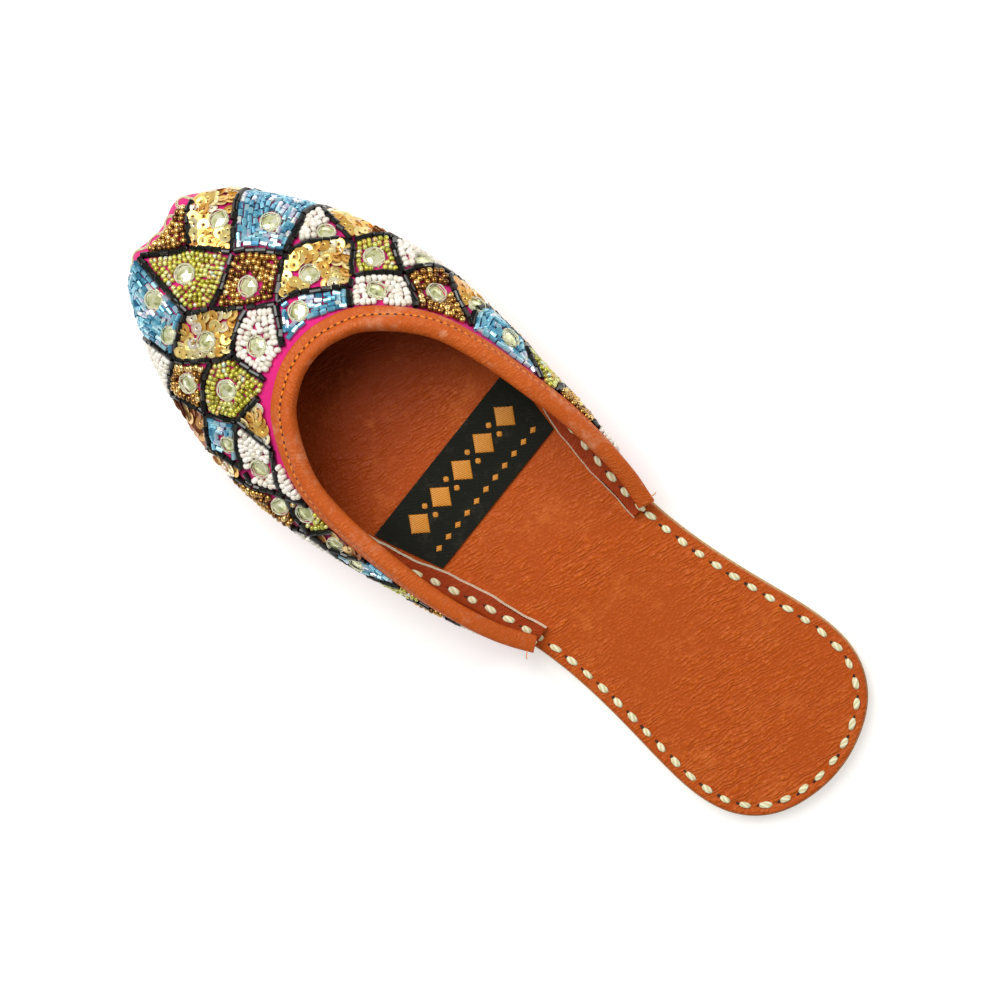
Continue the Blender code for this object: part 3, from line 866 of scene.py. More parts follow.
sole_half = sized(spline(SOLE_LINE, np.linspace(0.004, 0.996, 320), 2))
sole_loop = np.concatenate([sole_half, sole_half[::-1] * (-1, 1, 1)])
insole_half = sole_half + inward(sole_half) * SOLE_EDGE
insole_loop = np.concatenate([insole_half, insole_half[::-1] * (-1, 1, 1)])
INSOLE_UNDER = OUTSOLE_THICK + GAP
INSOLE_TOP = INSOLE_UNDER + INSOLE_THICK
outsole = layer_solid("outsole_leather", sole_loop,
                      leather_profile(0, OUTSOLE_THICK, 0.5 * MM, 0), "outsole",
                      [looks["sole_leather"]])
insole = layer_solid("insole_leather", insole_loop,
                     leather_profile(INSOLE_UNDER, INSOLE_TOP, 0.9 * MM, 0.25),
                     "insole", [looks["tan_leather"]])
print("sole layers:", len(outsole.data.polygons), len(insole.data.polygons), "faces")

# %% [markdown]
# ## Upper: cloth outside, leather inside
#
# The bead maker's cloth and a leather lining are glued back to back and pulled over the last
# together. One closed ring of points per column does the same here: out of the turned in margin,
# round the fold, up the cloth, over the cut edge and down the lining. A few soft folds and troughs
# are set in the lining, where it is loose at the wings; each fades out as a bell curve on
# both sides.

# %% Upper shell
def both_sides(half):
    """The whole surface from its right half, left wing end to right wing end."""
    return np.concatenate([half[:0:-1] * (-1, 1, 1), half])


RAW_BEVEL = 0.5 * MM
MEASURED_ROW = 20  # the row of the wall along which the cloth is measured
walk = columns * COLUMNS  # columns passed; three sines of it make the knife's uneven cut, in mm
uneven = 0.45 * np.sin(walk * 0.13) + 0.22 * np.sin(walk * 0.29 + 1.3) + 0.08 * np.sin(walk * 0.7)
cut_line = MARGIN_WIDTH - fade(columns, 0.1, 0.3) * (0.35 - uneven * 0.7) * MM
margin_steps = cut_line[:, None] + (FOLD - cut_line[:, None]) * np.linspace(0, 1, 9)
margin = edge[:, None] + edge_in[:, None] * margin_steps[..., None]
turn = np.linspace(0, 1, 7)[1:-1][None, :, None]
from_margin, to_wall = margin[:, -1:], fold_end[:, None]
corner = ((1 - turn) ** 2 * from_margin + 2 * turn * (1 - turn) * edge[:, None]
          + turn ** 2 * to_wall)
WALL_STEPS = 54
outer_half = np.concatenate(
    [margin, corner, on_wall(wall_height * np.linspace(0, 1, WALL_STEPS + 1))], axis=1)
outer = bent(both_sides(outer_half))
outward = unit(np.cross(np.gradient(outer, axis=1), np.gradient(outer, axis=0)))
lining = outer - outward * WALL

HALF_ROUND = 150.0  # mm, from the toe to a wing end, for measuring the folds
# share round and up where a fold starts, and where it ends; height towards the foot, half width (mm)
LINING_FOLDS = np.array([
    (0.860, 0.95, 0.955, 0.30, 0.42, 1.3), (0.905, 0.25, 0.978, 0.60, -0.30, 1.1),
    (0.640, 0.90, 0.760, 0.40, -0.28, 1.7), (-0.880, 0.90, -0.962, 0.35, 0.40, 1.2),
    (-0.700, 0.92, -0.800, 0.40, -0.28, 1.6), (-0.520, 0.85, -0.560, 0.30, 0.25, 1.8),
])


def folds_at(shares, heights):
    """Height of the folds (mm) at places of the lining: bell curves about straight lines on it."""
    high = wall_top(shares) / MM
    x, y = shares * HALF_ROUND, heights * high
    total = 0 * x
    for s0, h0, s1, h1, lift, half in LINING_FOLDS:
        ax, ay, bx, by = s0 * HALF_ROUND, h0 * high, s1 * HALF_ROUND, h1 * high
        dx, dy = bx - ax, by - ay
        along = np.clip(((x - ax) * dx + (y - ay) * dy) / (dx ** 2 + dy ** 2), 0, 1)
        apart = (x - ax - along * dx) ** 2 + (y - ay - along * dy) ** 2
        total = total + lift * np.exp(-apart / half ** 2)
    return total


wall_shares = np.concatenate([-columns[:0:-1], columns])[:, None]
MARGIN_ROWS = margin.shape[1] + corner.shape[1]
wall_part = slice(MARGIN_ROWS, None)
lining[:, wall_part] -= outward[:, wall_part] * MM * folds_at(
    wall_shares, np.linspace(0, 1, WALL_STEPS + 1)[None, :])[..., None]
raw_way = unit(outer[:, 0] - outer[:, 1])
lining[:, 0] -= raw_way * RAW_BEVEL
shell = np.concatenate([outer, lining[:, ::-1]], axis=1)
shell_count, shell_rows = shell.shape[:2]
round_way = np.concatenate([np.zeros((shell_count, 1)), np.cumsum(
    np.linalg.norm(np.diff(shell, axis=1), axis=2), axis=1)], axis=1)
along_way = np.concatenate([[0], np.cumsum(np.linalg.norm(
    np.diff(outer[:, MARGIN_ROWS + MEASURED_ROW], axis=0), axis=1))])
shell_uv = np.stack([np.repeat(along_way[:, None], shell_rows, axis=1), round_way], axis=-1)
upper = add_mesh("upper_shell", shell.reshape(-1, 3),
                 capped(shell_count, shell_rows), "upper",
                 shell_uv.reshape(-1, 2),
                 finish=[looks["magenta_cloth"], looks["lining_leather"], looks["raw_edge"]])
strip_look = np.ones(shell_rows, np.int32)
strip_look[:MARGIN_ROWS + WALL_STEPS] = 0
strip_look[:margin.shape[1] + 2] = 1
strip_look[-1] = 2
face_looks = np.concatenate([np.tile(strip_look, shell_count - 1), [2, 2]]).astype(np.int32)
upper.data.polygons.foreach_set("material_index", face_looks)
upper.data.polygons.foreach_set("use_smooth", face_looks != 2)
print("upper shell:", len(upper.data.polygons), "faces")

# %% [markdown]
# ## Binding
#
# A strip of thin leather is sewn flat round the throat, folded over a cord and pushed down inside.
# Seen from above it is a flat outer strip, a sunken line of stitches and a full roll. One closed
# profile carried round the cut edge has all three, and narrows towards the wing ends.

# %% Binding sweep
# how far below the cut edge (share of the strip), past it and out from the cloth (mm)
BINDING_ROWS = np.array([
    (1.00, 0, 0.30), (1.01, 0, 0.62), (0.985, 0, 0.95), (0.93, 0, 1.16), (0.84, 0, 1.22),
    (0.74, 0, 1.26), (0.60, 0, 1.24), (0.46, 0, 1.08), (0.405, 0, 0.92), (0.355, 0, 1.04),
    (0.30, 0, 1.32), (0.23, 0, 1.52), (0.14, 0, 1.62), (0.05, 0, 1.60), (0, 0.25, 1.46),
    (0, 0.75, 1.12), (0, 1.15, 0.60), (0, 1.40, -0.20), (0, 1.45, -1.00), (0, 1.40, -1.80),
    (0, 1.15, -2.60), (0, 0.70, -3.15), (0, 0.20, -3.45), (0.10, 0, -3.58), (0.25, 0, -3.55),
    (0.38, 0, -3.35), (0.46, 0, -3.00), (0.50, 0, -2.55), (0.50, 0, -2.30), (0.30, 0, -2.30),
    (0, 0.30, -2.30), (0, 0.30, 0.30), (0.30, 0, 0.30), (0.65, 0, 0.30),
])
WING_NARROWING = 0.45


def narrowing_at(share):
    """The binding's size, 1 round the front and less towards the wing ends."""
    return 1 - WING_NARROWING * fade(np.abs(share), 0.75, 1)


BINDING_COLUMNS = 900
bind_share = np.linspace(-1, 1, BINDING_COLUMNS + 1)
narrow = narrowing_at(bind_share)[:, None]
below, past, out = BINDING_ROWS.T
bind_height = wall_top(bind_share)[:, None] + (past * MM - below * STRIP_REACH) * narrow
bind_points, _ = wall_at(np.repeat(bind_share[:, None], len(below), axis=1), bind_height, out * MM)
bind_round = np.cumsum(np.hypot(np.diff(below * STRIP_REACH - past * MM, prepend=STRIP_REACH),
                                np.diff(out * MM, prepend=0)))
bind_way = np.concatenate([[0], np.cumsum(np.linalg.norm(np.diff(bind_points[:, 12], axis=0),
                                                         axis=1))])
bind_uv = np.stack(np.broadcast_arrays(bind_way[:, None], bind_round[None, :]), axis=-1)
binding = add_mesh("binding_leather", bind_points.reshape(-1, 3),
                   capped(*bind_points.shape[:2]),
                   "binding", bind_uv.reshape(-1, 2), finish=[looks["binding_leather"]])
print("binding:", len(binding.data.polygons), "faces,", round(bind_way[-1] / MM), "mm round")

# %% [markdown]
# ## The chart of the patchwork
#
# The embroiderer first draws a net of lines on the cloth, lays long black beads along them and
# then fills each field with one kind of bead. The chart below is that drawing: every corner by its
# share round the shoe and its share of the wall's height, every field by its corners, with the
# small mirrors that are sewn into it. The last three fields are of one kind on both sides: olive,
# bronze and white.

# %% Corners, fields and mirrors
CORNERS = {
    # toe tip, right to left
    "tip_1": (0.118, 0.085), "tip_2": (0.072, 0.150), "tip_3": (-0.012, 0.108),
    "tip_4": (-0.050, 0.134), "tip_5": (-0.080, 0.105), "tip_6": (-0.112, 0.040),
    # net over the vamp
    "a2": (0.015, 0.268), "a4": (0.049, 0.465), "a6": (0.112, 0.599), "a7": (0.303, 0.118),
    "a8": (0.275, 0.467), "a9": (0.178, 0.769), "a10": (0.158, 0.834), "a11": (0.436, 0.165),
    "a12": (0.322, 0.657), "a13": (0.540, 0.185), "a14": (0.037, 0.769), "a15": (-0.003, 0.673),
    "a16": (-0.040, 0.547), "a17": (-0.065, 0.462), "a18": (-0.162, 0.389), "a19": (-0.190, 0.115),
    "a20": (-0.112, 0.636), "a21": (-0.077, 0.735), "a28": (-0.296, 0.154), "a29": (-0.250, 0.482),
    "a30": (-0.202, 0.719), "a34": (-0.390, 0.250), "a35": (-0.382, 0.490), "a36": (-0.385, 0.735),
    "a40": (-0.440, 0.420), "a41": (-0.563, 0.480), "a43": (-0.614, 0.460),
    "r6": (0.637, 0.195), "r7": (0.696, 0.255), "r10": (0.792, 0.356), "r12": (0.860, 0.400),
    "c1": (-0.722, 0.280), "c3": (-0.800, 0.340), "c5": (-0.862, 0.400),
    # along the throat
    "m22": (-0.090, 0.889), "m23": (-0.016, 0.900), "m24": (0.142, 0.930), "m25": (0.287, 0.905),
    "m26": (0.433, 0.845), "m31": (-0.125, 0.875), "m33": (-0.230, 0.885), "m38": (-0.376, 0.900),
    "m42": (-0.463, 0.880), "m44": (-0.573, 0.870), "m8": (0.642, 0.835), "m9": (0.695, 0.850),
    "m11": (0.830, 0.760), "m13": (0.908, 0.650), "n2": (-0.690, 0.850), "n4": (-0.790, 0.800),
    "n6": (-0.862, 0.740), "n8": (-0.918, 0.640),
    "h12": (0.060, 0.905), "h13": (0.215, 0.925), "h14": (0.360, 0.885), "h16": (0.540, 0.850),
    # along the sole
    "b5": (0.190, 0.030), "b7": (0.316, 0.020), "b11": (0.450, 0.020), "b13": (0.562, 0.030),
    "b6": (0.660, 0.040), "b70": (0.720, 0.050), "b10": (0.800, 0.070), "b12": (0.862, 0.080),
    "b14": (0.915, 0.120), "b19": (-0.200, 0.020), "b28": (-0.310, 0.020), "b34": (-0.405, 0.020),
    "b40": (-0.465, 0.030), "b41": (-0.590, 0.040), "b1": (-0.740, 0.050), "b3": (-0.815, 0.070),
    "b15": (-0.872, 0.090), "b17": (-0.922, 0.130),
}
# kind of bead, corners in order, mirrors
FIELDS = [
    ("bronze", "tip_2 a2 tip_4 tip_3", []),
    ("gold", "tip_2 tip_1 b5 a4 a2", [(0.075, 0.300)]),
    ("blue", "a4 b5 b7 a7 a6", [(0.140, 0.390)]),
    ("white", "a7 a8 a6", [(0.229, 0.448)]),
    ("gold", "b7 b11 a11 a8 a7", []),
    ("olive", "a8 a11 a12 a9", [(0.283, 0.579)]),
    ("white", "a11 b11 b13 a13 a12", [(0.467, 0.300)]),
    ("gold", "a6 a8 a9 a10 a14", [(0.118, 0.726)]),
    ("bronze", "a4 a6 a14 a15 a16", [(0.027, 0.617)]),
    ("olive", "tip_4 a2 a4 a16 a17", [(-0.023, 0.335)]),
    ("white", "a9 a12 m25 h13 m24 a10", [(0.214, 0.836)]),
    ("blue", "a10 m24 h12 m23 a14", [(0.054, 0.850)]),
    ("bronze", "a12 a13 m26 h14 m25", [(0.389, 0.686)]),
    ("gold", "a13 b13 b6 r6 m26", [(0.555, 0.437)]),
    ("blue", "m26 r6 r7 m8 h16", [(0.619, 0.530)]),
    ("bronze", "r6 b6 b70 r7", []),
    ("olive", "r7 b70 b10 r10 m9 m8", []),
    ("bronze", "r10 b10 b12 r12 m11 m9", []),
    ("white", "r12 b12 b14 m13 m11", []),
    ("blue", "tip_4 a17 a18 a19 b19 tip_6 tip_5", [(-0.086, 0.277), (-0.127, 0.364)]),
    ("gold", "a17 a16 a15 a21 a20 a18", [(-0.084, 0.594)]),
    ("white", "a15 a14 m23 m22 a21", [(-0.041, 0.810)]),
    ("olive", "a20 a21 m22 m31 a30 a29", [(-0.143, 0.711)]),
    ("bronze", "a18 a20 a29 a28", [(-0.196, 0.447)]),
    ("white", "a19 a18 a28 b28 b19", []),
    ("copper", "a28 a29 a34 b34 b28", []),
    ("gold", "a30 m31 m33", []),
    ("blue", "a29 a30 a35 a34", [(-0.309, 0.523)]),
    ("white", "a30 m33 a36 a40 a35", [(-0.319, 0.698)]),
    ("white", "m33 m38 a36", []),
    ("gold", "a34 a35 a40 b40 b34", []),
    ("bronze", "a40 a36 a41 b41 b40", [(-0.471, 0.519)]),
    ("olive", "a36 m38 m42 a41", [(-0.430, 0.770)]),
    ("copper", "a41 m42 m44 a43", [(-0.553, 0.690)]),
    ("blue", "a43 m44 n2 c1", [(-0.650, 0.560)]),
    ("white", "a41 a43 c1 b1 b41", []),
    ("olive", "c1 n2 n4 c3 b3 b1", []),
    ("bronze", "c3 n4 n6 c5 b15 b3", []),
    ("white", "c5 n6 n8 b17 b15", []),
]
print(len(CORNERS), "corners,", len(FIELDS), "fields")

# %% [markdown]
# ## Laying beads
#
# Beads are strung and couched down in rows that follow the edge of a field, row inside row, until
# the field is full. A fine grid of places covers each field here, and each place knows its true
# distance on the shoe to the outline. Places of equal depth make a row. Beads are taken along it
# one by one, each clear of those before, and what is still bare at the end is filled as a hand
# would do it. Distances are taken between points of the curved wall, so rows stay close where it
# bends.

# %% Rows inside a field
BORDER_HALF = 1.05  # mm, half the width kept for a border
MIRROR_RING = 3.3  # mm, outer radius of the thread round a mirror
OPEN_EDGE_SLACK = 0.95  # mm, added to depths beside an edge without a border
ROW_BAND = 0.18  # mm, how far from a row's depth a place may lie
EDGE_STEPS, MAP_STEPS = 40, 110  # samples along one edge, and across a field
FIRST_PASS, GAP_PASS = 0.84, 0.90  # shares of the smaller of pitch and row distance kept free


def inside(points, polygon):
    """Whether points of the chart lie inside a closed outline.

    A line from the point to the right crosses the outline an odd number of times.
    """
    start, end = polygon, np.roll(polygon, -1, axis=0)
    y = points[:, 1:2]
    crossing = (start[:, 1] > y) != (end[:, 1] > y)
    climb = np.where(end[:, 1] == start[:, 1], 1, end[:, 1] - start[:, 1])
    x_at = start[:, 0] + (y - start[:, 1]) * (end[:, 0] - start[:, 0]) / climb
    return np.sum(crossing & (points[:, :1] < x_at), axis=1) % 2 == 1


def spot_on_wall(spots, out=0.0):
    """Points and normals on the wall at spots of the chart (share round, share of the height)."""
    return wall_at(spots[:, 0], spots[:, 1] * wall_top(spots[:, 0]), out)


def field_map(spots, open_edge):
    """Fine places all over a field, each with its depth inside the outline and its nearest edge.

    Depths are true distances on the shoe. An open edge has no border of black beads, so depth
    counts from farther out there and the filling comes up to it.
    """
    samples, slack = [], []
    for k, (start, end) in enumerate(zip(spots, np.roll(spots, -1, axis=0))):
        share = np.linspace(0, 1, EDGE_STEPS, endpoint=False)[:, None]
        samples.append(start + (end - start) * share)
        slack.append(np.full(EDGE_STEPS, OPEN_EDGE_SLACK * MM if open_edge[k] else 0.0))
    samples, slack = np.concatenate(samples), np.concatenate(slack)
    edge_points, _ = spot_on_wall(samples)
    low, high = spots.min(axis=0), spots.max(axis=0)
    grid = np.stack(np.meshgrid(np.linspace(low[0], high[0], MAP_STEPS),
                                np.linspace(low[1], high[1], MAP_STEPS)), axis=-1).reshape(-1, 2)
    grid = grid[inside(grid, spots)]
    points, normals = spot_on_wall(grid)
    distance = np.linalg.norm(points[:, None] - edge_points[None], axis=2) + slack
    nearest = distance.argmin(axis=1)
    way = unit(np.roll(edge_points, -1, axis=0) - np.roll(edge_points, 1, axis=0))[nearest]
    way = unit(way - normals * np.sum(way * normals, axis=1, keepdims=True))
    return points / MM, normals, way, distance.min(axis=1) / MM, nearest


def fill_rows(field, mirrors, size, pitch, spacing, border):
    """Chosen places of one kind of bead in a field, as an index into its fine places.

    Rows lie at equal depths. Beads are taken in order along each row and kept when they are clear
    of those before them; then the gaps that are still wide enough are filled.
    """
    points, normals, way, depth, nearest = field
    free = np.ones(len(points), bool)
    for centre, radius in mirrors:
        free &= np.linalg.norm(points - centre, axis=1) > radius + size * 0.36
    least = min(pitch, spacing)
    chosen = []

    def take(k, factor):
        if not free[k]:
            return False
        chosen.append(k)
        free[np.linalg.norm(points - points[k], axis=1) < least * factor] = False
        return True

    level = border + size / 2
    while level < depth.max() + spacing * 0.3:
        row = np.flatnonzero(np.abs(depth - level) < ROW_BAND)
        row = row[np.argsort(nearest[row] + depth[row] * 1e-3)]
        last = None
        for k in row:
            if last is None or np.linalg.norm(points[k] - points[last]) >= pitch:
                if take(k, FIRST_PASS):
                    last = k
        level += spacing
    for k in rng.permutation(len(points)):
        if free[k] and depth[k] > border + size * 0.42:
            near = np.linalg.norm(points[chosen] - points[k], axis=1) if chosen else [99]
            if np.min(near) > least * GAP_PASS:
                take(k, GAP_PASS)
    return np.array(chosen, int)


print("border half width", BORDER_HALF, "mm, mirror ring radius", MIRROR_RING, "mm")

# %% [markdown]
# ## Three shapes of bead
#
# A seed bead is a slice of glass rod, tumbled until its edges are round. A bugle is a longer piece
# of glass tube that keeps its cut ends. A sequin is a thin pressed disc, cupped a little round its
# hole. Each is a closed profile turned into a ring of few faces, because it is repeated hundreds
# of times, and all the copies of a kind are joined into one mesh.

# %% Bead shapes
def ring_mesh(profile, sides):
    """A closed ring about the X axis: a closed profile of (x, radius) in mm, turned in steps.

    At an angle, a profile point stands at (x, radius * cosine, radius * sine).
    """
    angle = np.linspace(0, 2 * np.pi, sides, endpoint=False)[:, None]
    x, radius = np.asarray(profile, float).T[:, None] * MM
    points = np.stack(np.broadcast_arrays(x, radius * np.cos(angle), radius * np.sin(angle)), axis=-1)
    return points.reshape(-1, 3), ring_faces(sides, len(profile), joined_up=True)


def keep_chance(piece, values):
    """Keeps a random number per vertex, which the looks of beads and threads read."""
    chance = piece.data.attributes.new("chance", "FLOAT", "POINT")
    chance.data.foreach_set("value", values.astype(np.float32))


def joined(name, shape, places, normals, ways, look, scales=None, tilt=None, roll=None,
           stands_for=None, smooth=True):
    """One mesh of many copies: X of the shape along the way, Z along the wall's normal.

    Each copy can be tilted about its side and rolled about its way, and keeps a random number in
    its vertices, which the looks read. The shape's own X and Y are its measure.
    """
    base, faces = shape
    count = len(places)
    scales = np.ones((count, 3)) if scales is None else scales
    side = unit(np.cross(normals, ways))
    if tilt is not None:
        cosine, sine = np.cos(tilt)[:, None], np.sin(tilt)[:, None]
        ways, normals = ways * cosine + normals * sine, normals * cosine - ways * sine
    if roll is not None:
        cosine, sine = np.cos(roll)[:, None], np.sin(roll)[:, None]
        side, normals = side * cosine + normals * sine, normals * cosine - side * sine
    axes = np.stack([ways, side, normals], axis=1)
    points = np.einsum("nvi,nij->nvj", base[None] * scales[:, None], axes) + places[:, None]
    index = (np.arange(count)[:, None, None] * len(base) + faces[None]).reshape(-1, faces.shape[1])
    uv = np.tile(base[:, :2], (count, 1)) + np.repeat(rng.random((count, 2)) * 0.01, len(base), 0)
    piece = add_mesh(name, points.reshape(-1, 3), index, stands_for, uv, smooth, [look])
    keep_chance(piece, np.repeat(rng.random(count), len(base)))
    print(name, count, "copies,", len(index), "faces")
    return piece


def seed_shape(length, diameter, hole):
    """A pressed glass seed bead: a rounded barrel with a hole along X."""
    half, outer, inner = length / 2, diameter / 2, hole / 2
    return ring_mesh([(-half * 0.52, outer * 0.92), (0, outer), (half * 0.52, outer * 0.92),
                      (half * 0.93, outer * 0.64), (half * 0.86, inner),
                      (-half * 0.86, inner), (-half * 0.93, outer * 0.64)], 9)


def bugle_shape(length, diameter, hole, sides=8):
    """A cut glass tube with slightly rounded ends, its hole along X."""
    half, outer, inner = length / 2, diameter / 2, hole / 2
    return ring_mesh([(-half + 0.12, outer), (half - 0.12, outer), (half, outer - 0.14),
                      (half - 0.04, inner), (-half + 0.04, inner), (-half, outer - 0.14)], sides)


def sequin_shape(radius, hole):
    """A thin cupped disc with a hole: a profile of (radius, height) in mm, turned about Z."""
    profile = [(hole, 0.03), (radius * 0.42, -0.03), (radius * 0.60, 0.02), (radius * 0.94, 0.10),
               (radius, 0.06), (radius * 0.94, 0.02), (radius * 0.42, -0.10), (hole, -0.04)]
    points, faces = ring_mesh([(level, ring) for ring, level in profile], 14)
    return points[:, [1, 2, 0]], faces


print("faces of a seed bead:", len(seed_shape(1.7, 2.3, 0.6)[1]))

# %% [markdown]
# ## Filling the fields
#
# One pass over the chart works out the rows of every field. Sequins overlap like scales, so they
# stand closer than they are wide and may reach under the black border. Mirrors are kept clear by
# the radius of their thread ring. Beside the binding a bare strip of cloth is left, as on the shoe.

# %% Fill the fields
# size across the row, pitch along it, distance between rows, jitter (mm)
BEADS = {
    "white": (2.0, 1.48, 1.85, 0.12), "bronze": (1.95, 1.55, 1.75, 0.12),
    "olive": (1.65, 1.34, 1.52, 0.08), "blue": (1.45, 2.25, 1.48, 0.08),
    "gold": (3.5, 2.20, 2.60, 0.32), "copper": (3.5, 2.00, 2.40, 0.32),
}
OUT = {"white": 0.85, "bronze": 0.9, "olive": 0.75, "blue": 0.75, "gold": 0.75, "copper": 0.75}
laid = {kind: [] for kind in BEADS}
mirror_spots = []


def held_in(corner_names):
    """Corners of a field, kept clear of the binding by the bare strip of cloth seen beside it."""
    spots = np.array([CORNERS[name] for name in corner_names])
    bare = np.interp(spots[:, 0], [-0.30, -0.24, -0.05, 0.03, 0.10], [0.4, 1.9, 2.1, 1.3, 0.3]) * MM
    limit = 1 - (STRIP_REACH * narrowing_at(spots[:, 0]) + bare) / wall_top(spots[:, 0])
    spots[:, 1] = np.minimum(spots[:, 1], limit)
    return spots


open_ends = {name for name in CORNERS if name[0] in "mnbh" or name[:3] == "tip"}
for kind, names, mirrors in FIELDS:
    names = names.split()
    spots = held_in(names)
    open_edge = [a in open_ends and b in open_ends for a, b in zip(names, names[1:] + names[:1])]
    field = field_map(spots, open_edge)
    points, normals, way, depth, _ = field
    size, pitch, spacing, jitter = BEADS[kind]
    flat_bead = kind in ("gold", "copper")
    kept_clear = []
    for spot in mirrors:
        centre, normal = spot_on_wall(np.array([spot]))
        at = np.linalg.norm(points - centre / MM, axis=1).argmin()
        radius = np.clip(depth[at] - 0.5, MIRROR_RING * 0.88, MIRROR_RING)
        kept_clear.append((centre[0] / MM, radius))
        mirror_spots.append((centre[0], normal[0], way[at], radius))
    taken = fill_rows(field, kept_clear, 2.6 if flat_bead else size, pitch, spacing,
                      0.6 if flat_bead else BORDER_HALF)
    shift = rng.normal(0, jitter, (len(taken), 2))
    across = np.cross(normals[taken], way[taken])
    placed = points[taken] + way[taken] * shift[:, :1] + across * shift[:, 1:]
    laid[kind].append((placed * MM + normals[taken] * OUT[kind] * MM, normals[taken], way[taken]))
laid = {kind: [np.concatenate(part) for part in zip(*rows)] for kind, rows in laid.items()}
print({kind: len(rows[0]) for kind, rows in laid.items()}, len(mirror_spots), "mirrors")

# %% [markdown]
# ## Seed beads, bugles and sequins
#
# Sewn beads never lie quite straight. Each copy is turned, tilted and sized a little differently,
# round beads more and long ones less. Sequins lean one way along their row, each on the one before,
# so they catch the light unevenly.

# %% Seed beads, bugles and sequins
def turned(ways, normals, spread):
    """Ways turned about the normals by a random angle (standard deviation in degrees)."""
    angle = np.radians(rng.normal(0, spread, len(ways)))[:, None]
    return ways * np.cos(angle) + np.cross(normals, ways) * np.sin(angle)


def size_spread(count, spread):
    """Random sizes near 1 along each axis, cut off at two standard deviations."""
    return 1 + rng.normal(0, spread, (count, 3)).clip(-2 * spread, 2 * spread)


SHAPES = {"white": seed_shape(1.7, 2.3, 0.6), "bronze": seed_shape(1.75, 2.2, 0.8),
          "olive": seed_shape(1.35, 1.8, 0.6), "blue": bugle_shape(2.25, 1.5, 0.6)}
SPREAD = {"white": 12, "bronze": 20, "olive": 10, "blue": 5}
for kind, shape in SHAPES.items():
    points, normals, ways = laid[kind]
    count = len(points)
    points = points + normals * rng.uniform(-0.08, 0.16, (count, 1)) * MM
    joined(kind + "_beads", shape, points, normals, turned(ways, normals, SPREAD[kind]),
           looks[kind], size_spread(count, 0.055),
           tilt=np.radians(rng.normal(0, 5, count)), roll=rng.uniform(0, 2 * np.pi, count),
           stands_for="beadwork" if kind == "white" else None, smooth=kind != "blue")
for kind in ("gold", "copper"):
    points, normals, ways = laid[kind]
    count = len(points)
    lift = rng.uniform(0.0, 0.45, (count, 1)) * MM
    joined(kind + "_sequins", sequin_shape(1.95, 0.30), points + normals * lift, normals,
           turned(ways, normals, 35), looks[kind], size_spread(count, 0.03),
           tilt=np.radians(rng.normal(14, 5, count)), roll=np.radians(rng.normal(0, 7, count)))

# %% [markdown]
# ## Black borders
#
# Every line between two fields is covered by long black beads, sewn end to end. They are walked
# along each line of the chart in mixed lengths, with the last one cut to fit. A line that two
# fields share is laid only once.

# %% Black borders
BLACK_LENGTHS = (2.2, 2.6, 3.4)  # mm
LINE_START, LINE_REST, BLACK_GAP = 0.5, 1.2, 0.15  # mm: bare start, shortest rest filled, gap
edges = set()
for _, names, _ in FIELDS:
    names = names.split()
    for a, b in zip(names, names[1:] + names[:1]):
        if not (a in open_ends and b in open_ends):
            edges.add(tuple(sorted((a, b))))
line_places = []
for a, b in sorted(edges) + [("tip_4", "a17"), ("m9", "r10"), ("m11", "r12")]:
    spots = held_in([a, b])
    share = np.linspace(0, 1, 80)[:, None]
    path = spots[0] + (spots[1] - spots[0]) * share
    points, normals = wall_at(path[:, 0], path[:, 1] * wall_top(path[:, 0]), 0.9 * MM)
    way = np.concatenate([[0], np.cumsum(np.linalg.norm(np.diff(points, axis=0), axis=1))]) / MM
    at = LINE_START
    while at < way[-1] - LINE_REST:
        length = min(rng.choice(BLACK_LENGTHS), way[-1] - at - 0.2)
        centre = at + length / 2
        ends = [np.array([np.interp(s, way, points[:, k]) for k in range(3)])
                for s in (at, at + length)]
        normal = unit(np.array([np.interp(centre, way, normals[:, k]) for k in range(3)]))
        line_places.append((*((ends[0] + ends[1]) / 2), *normal, *unit(ends[1] - ends[0]), length))
        at += length + BLACK_GAP
line_places = np.array(line_places)
count = len(line_places)
scales = size_spread(count, 0.07)
scales[:, 0] = line_places[:, 9] / BLACK_LENGTHS[-1]
black_normals, black_ways = line_places[:, 3:6], line_places[:, 6:9]
sway = np.cross(black_normals, black_ways) * rng.normal(0, 0.16, (count, 1)) * MM
joined("black_bugles", bugle_shape(BLACK_LENGTHS[-1], 1.85, 0.8, 10), line_places[:, :3] + sway,
       black_normals, turned(black_ways, black_normals, 6), looks["black"], scales,
       tilt=np.radians(rng.normal(0, 4, count)), roll=rng.uniform(0, 2 * np.pi, count),
       smooth=False)

# %% [markdown]
# ## Mirrors
#
# Each mirror is a small cut piece of silvered glass. It has no hole, so a web of thread holds it:
# straight chords run over its face from rim to rim and leave the middle free. The glass here has
# three rows of sloping facets and a rim; its corners carry random numbers, so light and dark run
# across its facets as reflections do. The thread is one tube per layer, laid as a polygon or a
# star whose corners dive at the rim.

# %% Glass and thread rings
def tube(path, radius, sides=6, closed=True):
    """A thread along a path of points: circles at right angles to it, one round each point.

    A closed path has no ends; an open one gets a cap at each end.
    """
    ahead = unit(np.roll(path, -1, axis=0) - np.roll(path, 1, axis=0))
    if not closed:
        ahead = unit(np.gradient(path, axis=0))
    side = unit(np.cross(ahead, np.where(np.abs(ahead[:, 2:]) > 0.9, (1.0, 0, 0), (0, 0, 1.0))))
    lift = np.cross(side, ahead)
    angle = np.linspace(0, 2 * np.pi, sides, endpoint=False)[None, :, None]
    points = path[:, None] + radius * (side[:, None] * np.cos(angle) + lift[:, None] * np.sin(angle))
    faces = ring_faces(len(path), sides, joined_up=True) if closed else capped(len(path), sides)
    return points.reshape(-1, 3), faces


